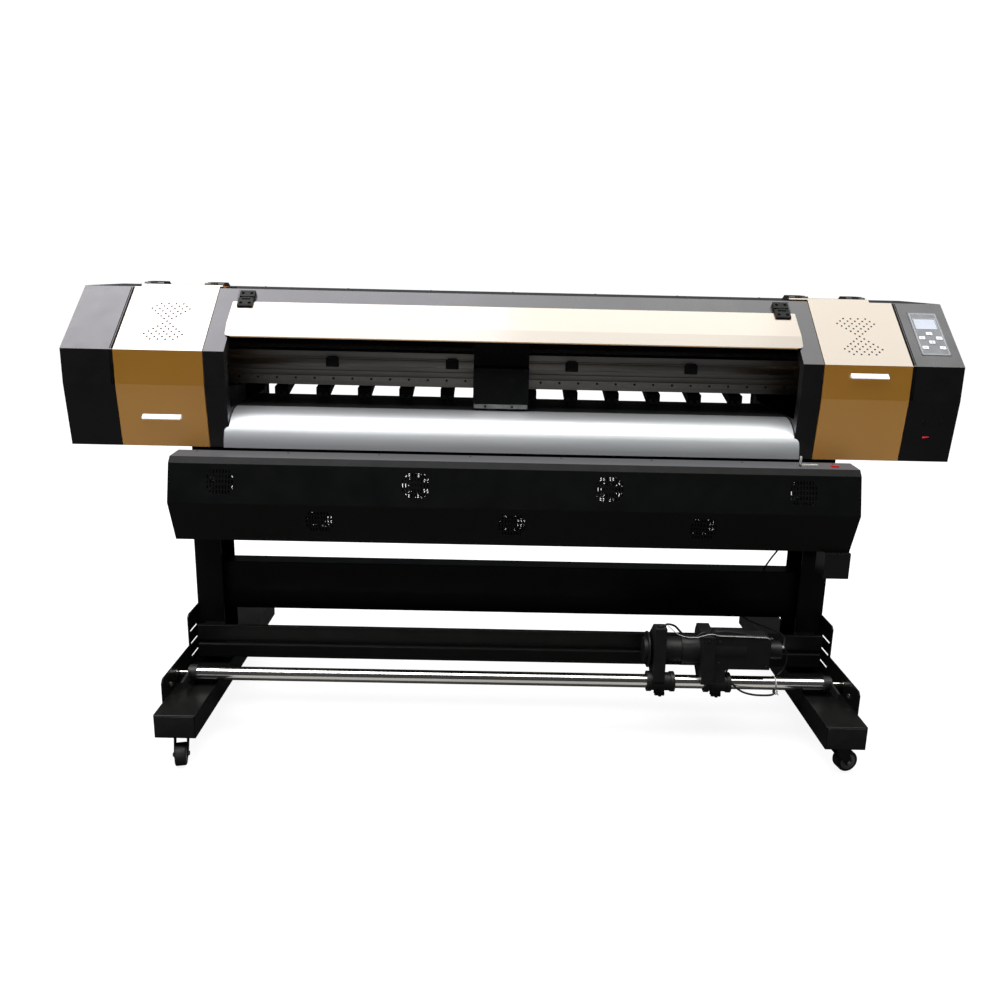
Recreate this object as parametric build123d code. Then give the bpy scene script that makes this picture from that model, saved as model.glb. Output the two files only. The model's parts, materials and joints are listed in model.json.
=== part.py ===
from build123d import *
import os
from math import atan2, cos, radians, sin

# A roll-to-roll large-format printer on a wheeled stand.
# Millimetres. X runs along the machine, Y from front to back, Z up.
# The origin is on the floor under the middle of the whole machine. The heights in this
# source are measured from a line LIFT above the floor, and the finished pieces are raised by it.

# ---------------------------------------------------------------- driving sizes
GAP = 0.5                    # clear gap between neighbouring covers
RUNNING = 0.05               # radial clearance of a shaft in its bore
LIFT = 18.0                  # from the floor up to the line where heights start

# Head: one side profile shared by both towers, and zones along X
HEAD_HALF = 1325.0           # outer end of each end cap
CAP_INNER = 1173.0           # end cap starts
COVER_INNER = 911.0          # gold service cover starts
OPEN_HALF = 849.0            # half width of the front opening
HEAD_FLOOR = 835.0           # underside of the head
HEAD_TOP = 1300.0            # top deck
HEAD_BACK = 370.0            # rear face
BEND = (-98.0, 1023.0)       # lower front bend of the profile, as (y, z)
BREAK = (-98.0, 1125.0)      # where the front turns into the slanted face
CREST = (94.0, HEAD_TOP)     # where the slanted face meets the top deck
TOE = (-75.0, HEAD_FLOOR)    # lowest front edge
PROFILE = [TOE, BEND, BREAK, CREST, (HEAD_BACK, HEAD_TOP), (HEAD_BACK, HEAD_FLOOR)]
SHEET = 2.0                  # steel sheet of the housings
COVER_SHEET = 1.5            # sheet of the gold covers and the lid

# Media path
PLATEN_TOP = 950.0
PLATEN_FRONT = 5.0
PLATEN_BACK = 258.0
PLATEN_HALF = OPEN_HALF - 2.0
PLATEN_SKIN = 6.0
GUIDE_RADIUS = 110.0         # front media guide, a quarter round
REAR_GUIDE_RADIUS = 100.0
ROLLER_Y = 200.0             # feed roller line
GRIT_RADIUS = 14.0
GRIT_SHAFT = 8.0
GRIT_TOP = PLATEN_TOP + 0.3
PINCH_RADIUS = 9.0
PINCH_NIP = 0.2              # gap between the grit and pinch rollers with no media
PINCH_COUNT = 12
PINCH_PITCH = 136.5
PINCH_SHIFT = -8.0           # the row of pinch arms sits a little left of the middle
PINCH_ARM_WIDTH = 44.0
PINCH_PIVOT = (300.0, 1010.0)

# Carriage drive
BEAM_FRONT = 120.0
BEAM_BACK = 240.0
BEAM_LOW = 1003.0
BEAM_HIGH = 1110.0
BEAM_HALF = 1161.0
RAIL_Z = (1018.0, 1034.0)
RAIL_DEPTH = 12.0
CARRIAGE_X = -37.0           # middle of the carriage at rest
CARRIAGE_HALF = 85.0
CARRIAGE_FRONT = -5.0
CARRIAGE_PLATE_Z = (958.0, 971.0)
PULLEY_RADIUS = 20.0
PULLEY_X = 1115.0

# Lid hinge line, raised above the slanted face
LID_HALF = 858.0
LID_HINGE_X = 818.0
LID_HINGE_SLOPE = 208.0      # distance up the slanted face from BREAK
LID_HINGE_RISE = 8.0
HINGE_HALF = 23.0

# Gold cover hinges on the top deck
COVER_AXIS = (130.0, 1308.0)
COVER_HINGE_X = {-1: (1125.0, 938.0), 1: (893.0, 1072.0)}
COVER_FLANGE_X = {-1: (905.0, 1153.0), 1: (855.0, 1103.0)}

# Stand, shifted a little to the right of the head
STAND_X = 11.0
FOOT_INNER = 885.0
FOOT_OUTER = 1001.0
FOOT_HALF_LENGTH = 433.0
FOOT_Z = (75.0, 145.0)
UPRIGHT_INNER = 918.0
UPRIGHT_Y = (-40.0, 95.0)
STAND_TOP = 800.0
STAND_SHEET = 4.0

# Casters
CASTER_Y = 385.0
CASTER_TRAIL = 28.0
WHEEL_RADIUS = 32.0
WHEEL_WIDTH = 30.0
WHEEL_AXLE = 4.0
# name -> (side in x, side in y, heading of the trailing wheel in degrees from +X)
CASTERS = {
    "front_left": (-1, -1, 283.0),
    "front_right": (1, -1, 12.0),
    "rear_left": (-1, 1, 77.0),
    "rear_right": (1, 1, 140.0),
}

# Dryer hood
HOOD_HALF = 1012.0
HOOD_PROFILE = [(-90, 828), (-163, 825), (-178, 808), (-205, 695), (-155, 568), (-90, 568)]
FAN_PITCH = 284.0
FAN_SIZE = 92.0
FAN_DEPTH = 25.0
FAN_OPEN = 43.0
FAN_HIGH_Z = 757.0
FAN_LOW_Z = 640.0

# Take-up
TUBE_AXIS = (-242.0, 178.0)
TUBE_RADIUS = 20.0
TUBE_HALF = 945.0
HOLDER_X = (939.0, 962.0)    # from the middle of the stand to the faces of a tube holder
CORE_AXIS = (-200.0, 262.0)
SPIGOT_RADIUS = 37.0
SHAFT_RADIUS = 10.0
CLAMP_RADIUS = 27.0
CLAMP_RIM = 30.0
CLAMP_LOW = TUBE_AXIS[1] - CLAMP_RIM - 2
TAKEUP_CLAMPS = ((418.0, 500.0), (590.0, 668.0))
KNOB_SCREW = 5.0
GEAR_X = (575.0, 612.0)
MOTOR_END = 779.0

# Control panel on the right end cap, placed on the slanted face
PANEL_X = 1254.0
PANEL_SLOPE = 132.0
PANEL_SIZE = (88.0, 174.0)
LCD_SIZE = (63.0, 41.0)
LCD_SLOPE = 173.0
KEY_SIZE = (18.0, 12.0)
KEYS = {
    "key_up": (0.0, 132.0),
    "key_left": (-26.0, 114.0),
    "key_right": (26.0, 114.0),
    "key_down": (0.0, 97.0),
    "key_cancel": (-26.0, 75.0),
    "key_enter": (26.0, 75.0),
}

PARTS = {}


# ---------------------------------------------------------------- shape helpers
def block(x, y, z):
    """A box from its three (low, high) ranges."""
    middle = [(low + high) / 2 for low, high in (x, y, z)]
    size = [high - low for low, high in (x, y, z)]
    return Pos(*middle) * Box(*size)


def rod_x(radius, axis, x):
    """A cylinder along X around a (y, z) axis, over the (low, high) range x."""
    turned = Rot(0, 90, 0) * Cylinder(radius, x[1] - x[0])
    return Pos((x[0] + x[1]) / 2, *axis) * turned


def rod_y(radius, x, z, y):
    """A cylinder along Y through (x, z), over the (low, high) range y."""
    turned = Rot(90, 0, 0) * Cylinder(radius, y[1] - y[0])
    return Pos(x, (y[0] + y[1]) / 2, z) * turned


def rod_z(radius, x, y, z):
    """A cylinder along Z through (x, y), over the (low, high) range z."""
    return Pos(x, y, (z[0] + z[1]) / 2) * Cylinder(radius, z[1] - z[0])


def outline_face(outline, inset=0.0):
    """A flat face with the given corners, drawn inset from them."""
    face = make_face(Polyline(*outline, close=True))
    if inset:
        face = offset(face, -inset, kind=Kind.INTERSECTION)
    return face


def prism_x(outline, x, inset=0.0):
    """A solid with a (y, z) outline, running along X over the (low, high) range."""
    low, high = min(x), max(x)
    face = Plane.YZ.offset(low) * outline_face(outline, inset)
    return extrude(face, high - low)


def sheet_x(path, thickness, x):
    """A bent sheet: a (y, z) path thickened to one side, running along X."""
    low, high = min(x), max(x)
    line = Polyline(*path)
    other = line.offset_2d(thickness, kind=Kind.INTERSECTION, side=Side.RIGHT, closed=True)
    face = Plane.YZ.offset(low) * make_face(other)
    return extrude(face, high - low)


def both_sides(make):
    """The same piece on the left (-1) and on the right (+1)."""
    return [make(-1), make(1)]


def side_range(side, inner, outer):
    """An x range on one side of the machine, from distances to the middle."""
    return tuple(sorted((side * inner, side * outer)))


def stand_range(side, inner, outer):
    """The same, measured from the middle of the stand."""
    low, high = side_range(side, inner, outer)
    return (low + STAND_X, high + STAND_X)


def save(name, *pieces):
    """Keep the pieces as separate solids of one named node."""
    solids = []
    for piece in pieces:
        solids.extend(piece.solids())
    PARTS[name] = solids


SLOPE_ANGLE = atan2(CREST[1] - BREAK[1], CREST[0] - BREAK[0])
UP_SLOPE = (cos(SLOPE_ANGLE), sin(SLOPE_ANGLE))
OUTWARD = (-sin(SLOPE_ANGLE), cos(SLOPE_ANGLE))


def slope_point(distance, rise=0.0):
    """(y, z) of a point up the slanted face from BREAK, raised above the face."""
    y = BREAK[0] + distance * UP_SLOPE[0] + rise * OUTWARD[0]
    z = BREAK[1] + distance * UP_SLOPE[1] + rise * OUTWARD[1]
    return (y, z)


def slope_plane(x, distance, rise=0.0):
    """Local x along the machine, y up the slanted face, z out of it."""
    y, z = slope_point(distance, rise)
    return Plane(origin=(x, y, z), x_dir=(1, 0, 0), z_dir=(0, *OUTWARD))


# ---------------------------------------------------------------- head housings
def end_cap(side):
    """A hollow black cap that closes one end of the head."""
    skin = 2.5
    shell = prism_x(PROFILE, side_range(side, CAP_INNER, HEAD_HALF))
    hollow = prism_x(PROFILE, side_range(side, CAP_INNER - skin, HEAD_HALF - skin), skin)
    cap = shell - hollow
    if side > 0:
        cap -= panel_cutout()
        cap -= front_cap_holes()
    return cap


def panel_cutout():
    """The opening for the control panel in the slanted face."""
    width, height = PANEL_SIZE
    return slope_plane(PANEL_X, PANEL_SLOPE) * Box(width + 2 * GAP, height + 2 * GAP, 20)


def front_cap_holes():
    """Two socket holes and the lamp slot in the front of the right cap."""
    socket_z = 960.0
    socket_radius = 3.5
    lamp_x = (1233.0, 1254.0)
    lamp_z = (908.0, 914.0)
    holes = [rod_y(socket_radius, x, socket_z, (-105, -80)) for x in (1228.0, 1280.0)]
    holes.append(block(lamp_x, (-105, -70), lamp_z))
    return holes


def inner_panel(side):
    """Black frame post beside the opening, with a window that the carriage passes."""
    wall = (OPEN_HALF, OPEN_HALF + SHEET)
    wrap_back = 115.0
    wall_back = HEAD_BACK - 4.0
    panel = prism_x(PROFILE, side_range(side, OPEN_HALF, COVER_INNER - 1))
    panel -= prism_x(PROFILE, side_range(side, wall[1], COVER_INNER), SHEET)
    outside = side_range(side, wall[1], COVER_INNER)
    panel -= block(outside, (wrap_back, 400), (HEAD_FLOOR - 10, HEAD_TOP + 10))
    panel -= block(side_range(side, 800, COVER_INNER), (wall_back, 400), (800, 1400))
    panel -= block(side_range(side, 800, COVER_INNER), (wrap_back, 400), (HEAD_TOP - 3, 1400))
    panel -= carriage_window(side)
    return panel


def carriage_window(side):
    """The opening in the post that lets the carriage and the beam through."""
    edge = 30.0
    window = prism_x(PROFILE, side_range(side, OPEN_HALF - 5, OPEN_HALF + SHEET + 1), edge)
    keep = block((-1400, 1400), (-300, 500), (PLATEN_TOP + 3, 1400))
    return window & keep


def side_frame(side):
    """Steel floor and end wall of a tower: they carry the ends of the beam."""
    wall = (BEAM_HALF + GAP, BEAM_HALF + GAP + 3)
    floor_front = -50.0
    floor = block(side_range(side, COVER_INNER + 1, wall[1]), (floor_front, HEAD_BACK - 3),
                  (HEAD_FLOOR, HEAD_FLOOR + 3))
    plate = prism_x(PROFILE, side_range(side, *wall), 22.0)
    foot = block(side_range(side, *wall), (floor_front + 25, HEAD_BACK - 22),
                 (HEAD_FLOOR + 1, HEAD_FLOOR + 30))
    return floor + plate + foot


def top_cover():
    """Top deck with the slanted strip that carries the lid hinges."""
    half = CAP_INNER - 1
    strip_low = slope_point(190.0)
    centre = sheet_x([strip_low, CREST, (HEAD_BACK, HEAD_TOP)], SHEET,
                     (GAP - OPEN_HALF, OPEN_HALF - GAP))
    wings_front = 117.0
    deck = block((-half, half), (wings_front, HEAD_BACK), (HEAD_TOP - SHEET, HEAD_TOP))
    return centre + deck


def rear_cover():
    """Back sheet with the media inlet in its middle and vent slots beside it."""
    half = CAP_INNER - 1
    inlet_top = 975.0
    sheet = block((-half, half), (HEAD_BACK - SHEET, HEAD_BACK),
                  (HEAD_FLOOR + 3, HEAD_TOP - SHEET - 0.1))
    sheet -= block((4 - OPEN_HALF, OPEN_HALF - 4), (360, 380), (800, inlet_top))
    slots = []
    for side in (-1, 1):
        for row in range(10):
            z = 1000 + 14 * row
            slots.append(block(side_range(side, 960, 1120), (360, 380), (z, z + 5)))
    return sheet - slots


# ---------------------------------------------------------------- gold covers
def vent_holes(x_middle):
    """An hourglass of staggered round holes through the slanted face."""
    rows = [4, 5, 6, 5, 4, 3, 2, 1, 2, 3, 4, 5, 6, 5, 4]
    middle_slope = 116.0
    row_pitch = 10.4
    hole_pitch = 22.6
    hole_radius = 2.3
    holes = []
    for row, count in enumerate(rows):
        distance = middle_slope + row_pitch * (row - (len(rows) - 1) / 2)
        for k in range(count):
            x = x_middle + hole_pitch * (k - (count - 1) / 2)
            holes.append(slope_plane(x, distance) * Cylinder(hole_radius, 8))
    return holes


def knuckle_bores(side):
    """Bores for the two pins on one side."""
    return [rod_x(3.0 + RUNNING, COVER_AXIS, side_range(side, x - 40, x + 40))
            for x in COVER_HINGE_X[side]]


def service_cover(side):
    """Folded gold sheet over a tower, hinged at the top deck."""
    inner, outer = COVER_INNER + 1, CAP_INNER - 1
    flange = 15.0
    full = side_range(side, inner, outer)
    cover = prism_x(PROFILE, full)
    cover -= prism_x(PROFILE, side_range(side, inner + COVER_SHEET, outer - COVER_SHEET),
                     COVER_SHEET)
    cover -= prism_x(PROFILE, side_range(side, inner - 5, outer + 5), flange)
    cover -= block(full, (CREST[0] + 8, 400), (800, 1400))
    cover -= block(full, (TOE[0] + flange, 400), (800, HEAD_FLOOR + flange + 1))
    cover += top_flange(side)
    cover -= vent_holes(side * 1040.0)
    return cover - knuckle_bores(side)


def top_flange(side):
    """Raised rear flange of a gold cover with its hinge knuckles."""
    low, high = COVER_FLANGE_X[side]
    rise = 8.5
    foot = slope_point(248.0)
    knee = (CREST[0] + rise / UP_SLOPE[1] * UP_SLOPE[0], HEAD_TOP + rise)
    path = [foot, knee, (COVER_AXIS[0] - 4, HEAD_TOP + rise)]
    flange = sheet_x(path, COVER_SHEET, side_range(side, low, high))
    flange -= block(side_range(side, 800, COVER_INNER + 1.2), (0, 99.5), (1200, 1400))
    for x in COVER_HINGE_X[side]:
        middle = side * x
        flange -= block((middle - 11.4, middle + 11.4), (COVER_AXIS[0] - 7, 140), (1290, 1320))
        for k_low, k_high in ((11.4, 30.0), (-30.0, -11.4)):
            flange += rod_x(6.0, COVER_AXIS, sorted((side * (x + k_low), side * (x + k_high))))
    return flange


def cover_hinge(side, x):
    """Fixed half of a gold cover hinge: a tapered black block, a knuckle and the pin."""
    wide, narrow, height = 33.0, 24.0, 15.5
    front, back = 137.0, 190.0
    corners = [(-wide, 0), (-narrow, height), (narrow, height), (wide, 0)]
    face = Plane.XZ.offset(-back) * make_face(Polyline(*corners, close=True))
    base = Pos(side * x, 0, HEAD_TOP) * extrude(face, back - front)
    knuckle = rod_x(6.0, COVER_AXIS, (side * x - 11, side * x + 11))
    web = block((side * x - 11, side * x + 11), (COVER_AXIS[0], front + 1),
                (HEAD_TOP + 3, HEAD_TOP + 13))
    pin = rod_x(3.0, COVER_AXIS, (side * x - 30, side * x + 30))
    return base + knuckle + web + pin


def bar_handle(x_middle, half, z_middle):
    """A folded pull on the front of a gold cover: a lip that leans out and down."""
    z_low, z_high = z_middle - 7, z_middle + 7
    reach = 15.0
    lean = (BEND[0] - TOE[0]) / (BEND[1] - TOE[1])

    def face_y(z):
        """The front of the cover at height z."""
        return TOE[0] + lean * (z - TOE[1]) if z < BEND[1] else BREAK[0]

    outline = [(face_y(z_low) - 0.05, z_low), (face_y(z_high) - 0.05, z_high),
               (face_y(z_high) - 2.5, z_high), (face_y(z_low) - reach, z_low + 3),
               (face_y(z_low) - reach, z_low), (face_y(z_low) - reach + 2, z_low),
               (face_y(z_high) - 2.5, z_high - 5), (face_y(z_low) - 2, z_low)]
    return prism_x(outline, (x_middle - half, x_middle + half))


# ---------------------------------------------------------------- front lid
LID_TOP = (45.6, 1263.4)
LID_BEND = (-32.3, 1200.4)
LID_FOOT = (-56.5, 1167.0)


def lid_corner(side):
    """What is cut away to round one lower corner of the lid."""
    radius = 11.0
    spare = 4.0
    length = ((LID_BEND[0] - LID_FOOT[0]) ** 2 + (LID_BEND[1] - LID_FOOT[1]) ** 2) ** 0.5
    along = ((LID_BEND[0] - LID_FOOT[0]) / length, (LID_BEND[1] - LID_FOOT[1]) / length)
    plane = Plane(origin=(side * LID_HALF, *LID_FOOT), x_dir=(1, 0, 0),
                  z_dir=(0, -along[1], along[0]))
    middle = radius * (1 - cos(radians(45)))
    arc = ThreePointArc((0, radius), (-side * middle, middle), (-side * radius, 0))
    rest = Polyline((-side * radius, 0), (-side * radius, -spare), (side * spare, -spare),
                    (side * spare, radius), (0, radius))
    face = make_face(arc.edges() + rest.edges())
    return extrude(plane.offset(-8) * face, 16)


def front_lid():
    """Bent sheet lid with a doubled hem along its lower edge."""
    line = Polyline(LID_FOOT, LID_BEND, LID_TOP)
    sheet = make_face(line.offset_2d(COVER_SHEET, kind=Kind.INTERSECTION, side=Side.RIGHT,
                                     closed=True))
    hem_rise = 9.0
    front = 1.6
    lean = (LID_BEND[0] - LID_FOOT[0]) / (LID_BEND[1] - LID_FOOT[1])
    hem_top = (LID_FOOT[0] + lean * hem_rise, LID_FOOT[1] + hem_rise)
    overlap = 0.5
    hem = outline_face([(LID_FOOT[0] + overlap, LID_FOOT[1] + 0.3),
                        (LID_FOOT[0] - front, LID_FOOT[1] + 1),
                        (hem_top[0] - front, hem_top[1] + 1),
                        (hem_top[0] + overlap, hem_top[1] - 0.3)])
    section = Plane.YZ.offset(-LID_HALF) * (sheet + hem)
    lid = extrude(section, 2 * LID_HALF)
    return lid - lid_corner(-1) - lid_corner(1)


def lid_hinge_plane(x):
    """Origin on the hinge line, y up the slanted face, z out of it."""
    return slope_plane(x, LID_HINGE_SLOPE, LID_HINGE_RISE)


def screw_head(plane, x, y, z, radius=4.0, height=1.8):
    """A low round screw head standing on local height z."""
    return plane * Pos(x, y, z + height / 2) * Cylinder(radius, height)


def lid_hinge_base(side):
    """Fixed half of a lid hinge, on the top strip."""
    x = side * LID_HINGE_X
    outer = block((-HINGE_HALF, HINGE_HALF), (8, 33), (-LID_HINGE_RISE, 4))
    knuckle = rod_x(5.0, (0, 0), (-12.5, 12.5))
    web = block((-12.5, 12.5), (0, 9), (-5, 2.5))
    pin = rod_x(2.0, (0, 0), (-HINGE_HALF, HINGE_HALF))
    base = outer + knuckle + web + pin
    base -= [Pos(k, 21, 3) * Cylinder(5.0, 6) for k in (-13, 13)]
    return lid_hinge_plane(x) * base


def lid_hinge_leaf(side):
    """Moving half of a lid hinge, on the lid."""
    x = side * LID_HINGE_X
    face = Plane.YZ.offset(-HINGE_HALF) * outline_face(
        [(-7.5, -2.2), (-9.0, -2.2), (-34, -0.7), (-34, 3.0), (-30, 5.0), (-7.5, 5.0)])
    leaf = extrude(face, 2 * HINGE_HALF)
    for low, high in ((12.8, HINGE_HALF), (-HINGE_HALF, -12.8)):
        leaf += rod_x(5.0, (0, 0), (low, high))
        leaf += block((low, high), (-9, 0), (-2.2, 4.5))
    leaf -= rod_x(2.0 + RUNNING, (0, 0), (-HINGE_HALF - 1, HINGE_HALF + 1))
    leaf -= [Pos(k, -21, 4) * Cylinder(5.0, 6) for k in (-13, 13)]
    return lid_hinge_plane(x) * leaf


# ---------------------------------------------------------------- media path
def pinch_places():
    """The x of each pinch arm."""
    return [PINCH_SHIFT + PINCH_PITCH * (k - (PINCH_COUNT - 1) / 2) for k in range(PINCH_COUNT)]


GRIT_Z = GRIT_TOP - GRIT_RADIUS
PINCH_Z = GRIT_TOP + PINCH_NIP + PINCH_RADIUS
GRIT_SECTION = 60.0


def platen():
    """Flat printing table: an upside-down channel with slots for the feed roller."""
    span = (-PLATEN_HALF, PLATEN_HALF)
    table = block(span, (PLATEN_FRONT, PLATEN_BACK), (PLATEN_TOP - PLATEN_SKIN, PLATEN_TOP))
    for y in (PLATEN_FRONT + 4, PLATEN_BACK - 8):
        table += block(span, (y, y + 4), (HEAD_FLOOR, PLATEN_TOP - 2))
    for x in (-820.0, -281.0, 265.0, 800.0):
        table += block((x - 6, x + 6), (ROLLER_Y - 14, ROLLER_Y + 14), (GRIT_Z - 12, PLATEN_TOP - 2))
    table -= rod_x(GRIT_SHAFT + RUNNING, (ROLLER_Y, GRIT_Z), (-PLATEN_HALF + 2, PLATEN_HALF - 2))
    slots = []
    for x in pinch_places():
        half = GRIT_SECTION / 2 + 3
        slots.append(block((x - half, x + half), (ROLLER_Y - 16, ROLLER_Y + 16),
                           (PLATEN_TOP - 10, PLATEN_TOP + 1)))
    groove = block(span, (58, 61), (PLATEN_TOP - 1.5, PLATEN_TOP + 1))
    return table - slots - groove


def grit_roller():
    """Feed shaft with a knurled section under each pinch arm."""
    axis = (ROLLER_Y, GRIT_Z)
    roller = rod_x(GRIT_SHAFT, axis, (4 - PLATEN_HALF, PLATEN_HALF - 4))
    for x in pinch_places():
        roller += rod_x(GRIT_RADIUS, axis, (x - GRIT_SECTION / 2, x + GRIT_SECTION / 2))
    return roller


def quarter_guide(centre, radius, forward, half=PLATEN_HALF):
    """A quarter-round sheet along the platen, curving down towards the front or the back."""
    skin = 2.0
    ring = rod_x(radius, centre, (-half, half))
    ring -= rod_x(radius - skin, centre, (-half - 1, half + 1))
    y, z = centre
    reach = radius + 1
    keep_y = (y - reach, y) if forward else (y, y + reach)
    return ring & block((-half, half), keep_y, (z, z + reach))


def front_guide():
    """The front guide: its lower band is wider, because it stands ahead of the posts."""
    centre = (PLATEN_FRONT - 0.1, PLATEN_TOP - GUIDE_RADIUS)
    extra = 13.0
    half = PLATEN_HALF + extra
    band_top = centre[1] + 60
    band = block((-half, half), (-200, 0), (HEAD_FLOOR, band_top))
    band = fillet(band.edges().filter_by(Axis.Y).sort_by(Axis.Z)[-2:], extra)
    wide = quarter_guide(centre, GUIDE_RADIUS, True, half) & band
    return quarter_guide(centre, GUIDE_RADIUS, True) + wide


def rear_guide():
    """The rear guide, over which the media comes in."""
    centre = (PLATEN_BACK + 0.1, PLATEN_TOP - REAR_GUIDE_RADIUS)
    return quarter_guide(centre, REAR_GUIDE_RADIUS, False)


def pinch_arm(x):
    """One sprung arm with the axle of its two rollers."""
    half = PINCH_ARM_WIDTH / 2
    outline = [(196, 957), (196, 983), (262, 992), (288, 1020), (318, 1020), (318, 990),
               (300, 980), (216, 957)]
    arm = prism_x(outline, (x - half, x + half))
    for offset_x in (-12, 12):
        arm -= rod_x(PINCH_RADIUS + 1.5, (ROLLER_Y, PINCH_Z), (x + offset_x - 6, x + offset_x + 6))
    arm += rod_x(2.5, (ROLLER_Y, PINCH_Z), (x - half, x + half))
    return arm - rod_x(6.0 + RUNNING, PINCH_PIVOT, (x - half - 1, x + half + 1))


def pinch_rollers_at(x):
    """The two small rollers of one arm."""
    rollers = []
    for offset_x in (-12, 12):
        span = (x + offset_x - 5, x + offset_x + 5)
        roller = rod_x(PINCH_RADIUS, (ROLLER_Y, PINCH_Z), span)
        rollers.append(roller - rod_x(2.5 + RUNNING, (ROLLER_Y, PINCH_Z), (span[0] - 1, span[1] + 1)))
    return rollers


# ---------------------------------------------------------------- beam and carriage
def rail_beam():
    """Hollow aluminium beam with two bright front bands and lugs for the lift shaft."""
    step = 8.0
    outline = [(BEAM_FRONT, BEAM_LOW), (BEAM_FRONT, 1050), (BEAM_FRONT + step, 1050),
               (BEAM_FRONT + step, 1062), (BEAM_FRONT, 1062), (BEAM_FRONT, 1091),
               (BEAM_FRONT + step, 1091), (BEAM_FRONT + step, BEAM_HIGH),
               (BEAM_BACK, BEAM_HIGH), (BEAM_BACK, BEAM_LOW)]
    beam = prism_x(outline, (-BEAM_HALF, BEAM_HALF))
    beam -= block((-BEAM_HALF - 1, BEAM_HALF + 1), (BEAM_FRONT + step + 4, BEAM_BACK - 4),
                  (BEAM_LOW + 4, BEAM_HIGH - 4))
    for x in (-836.0, -281.0, 265.0, 820.0):
        lug = prism_x([(236, 1003.5), (236, 1060), (312, 1024), (312, 1000), (290, 1000)],
                      (x - 4, x + 4))
        beam += lug
    return beam - rod_x(6.0 + RUNNING, PINCH_PIVOT, (-BEAM_HALF, BEAM_HALF))


def linear_rail():
    """Steel guide rail with a row of counterbored holes."""
    hole_pitch = 60.0
    half = BEAM_HALF - 10
    rail = block((-half, half), (BEAM_FRONT - RAIL_DEPTH, BEAM_FRONT), RAIL_Z)
    rail_middle = sum(RAIL_Z) / 2
    count = int(2 * half // hole_pitch)
    bores = []
    for k in range(count):
        x = hole_pitch * (k - (count - 1) / 2)
        bores.append(rod_y(4.0, x, rail_middle, (BEAM_FRONT - RAIL_DEPTH - 1, BEAM_FRONT - 6)))
    return rail - bores


def belt_loop(radius, z):
    """A flat loop around the two belt pulleys."""
    y = BEAM_FRONT + 35
    loop = block((-PULLEY_X, PULLEY_X), (y - radius, y + radius), z)
    for x in (-PULLEY_X, PULLEY_X):
        loop += rod_z(radius, x, y, z)
    return loop


def drive_belt():
    """Closed toothed belt above the beam."""
    z = (1118.0, 1130.0)
    return belt_loop(PULLEY_RADIUS + 1.6, z) - belt_loop(PULLEY_RADIUS + 0.1, (z[0] - 1, z[1] + 1))


def drive_motor(side):
    """Motor (right) or tension idler (left) with its pulley, standing on the beam."""
    x = side * PULLEY_X
    y = BEAM_FRONT + 35
    pulley = rod_z(PULLEY_RADIUS, x, y, (1116, 1132)) + rod_z(6, x, y, (BEAM_HIGH, 1136))
    if side < 0:
        return pulley
    can = block((x - 28, x + 28), (y - 28, y + 28), (1135, 1190))
    bracket = block((x - 28, x + 28), (y + 23, y + 28), (BEAM_HIGH, 1136))
    return pulley + can + bracket


def carriage_cover():
    """Black carriage housing: a tall front box and a set-back upper box."""
    x = (CARRIAGE_X - CARRIAGE_HALF, CARRIAGE_X + CARRIAGE_HALF)
    z = CARRIAGE_PLATE_Z[1]
    outline = [(CARRIAGE_FRONT, z), (CARRIAGE_FRONT, 1080), (22, 1088), (22, 1176), (34, 1182),
               (90, 1182), (90, z)]
    shell = prism_x(outline, x)
    skin = 2.5
    inner = (x[0] + skin, x[1] - skin)
    return shell - (prism_x(outline, inner, skin) + block(inner, (0, 87.5), (z - 1, z + 4)))


def carriage_base():
    """Grey bottom plate, back plate with rail blocks, and two print heads."""
    half = CARRIAGE_HALF - 3
    low, high = CARRIAGE_PLATE_Z
    x = (CARRIAGE_X - half, CARRIAGE_X + half)
    plate = block(x, (CARRIAGE_FRONT, 90), (low, high - 0.1))
    back = block(x, (91, 99), (low, 1112))
    back += block(x, (91, 131), (1112, 1116))
    back += block(x, (126, 131), (1112, 1134))
    for offset_x in (-45, 45):
        middle = CARRIAGE_X + offset_x
        back += block((middle - 28, middle + 28), (98, BEAM_FRONT - 1), (1008, 1044))
    clear = RUNNING
    back -= block((x[0] - 1, x[1] + 1), (BEAM_FRONT - RAIL_DEPTH - clear, BEAM_FRONT + 1),
                  (RAIL_Z[0] - clear, RAIL_Z[1] + clear))
    heads = [block((CARRIAGE_X + k - 11, CARRIAGE_X + k + 11), (10, 72), (low - 4, low - 0.1))
             for k in (-30, 30)]
    return [plate, back, *heads]


def ink_tanks():
    """Four bulk ink bottles standing at the back of the left tower."""
    tanks = []
    for k in range(4):
        x = -1135.0 + 56 * k
        tank = block((x, x + 48), (262, 345), (HEAD_FLOOR + 3, 975))
        tank += rod_z(12, x + 24, 303, (974, 990))
        tanks.append(fillet(tank.edges().filter_by(Axis.Z).sort_by(Axis.Z)[:4], 4))
    return tanks


def capping_station():
    """Parking block under the carriage in the right tower, with two sealing caps."""
    base = block((940, 1120), (0, 90), (HEAD_FLOOR + 3, 940))
    for x in (1000, 1060):
        cap = block((x - 14, x + 14), (8, 74), (939, 952))
        base += cap - block((x - 11, x + 11), (11, 71), (944, 953))
    return base


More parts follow.
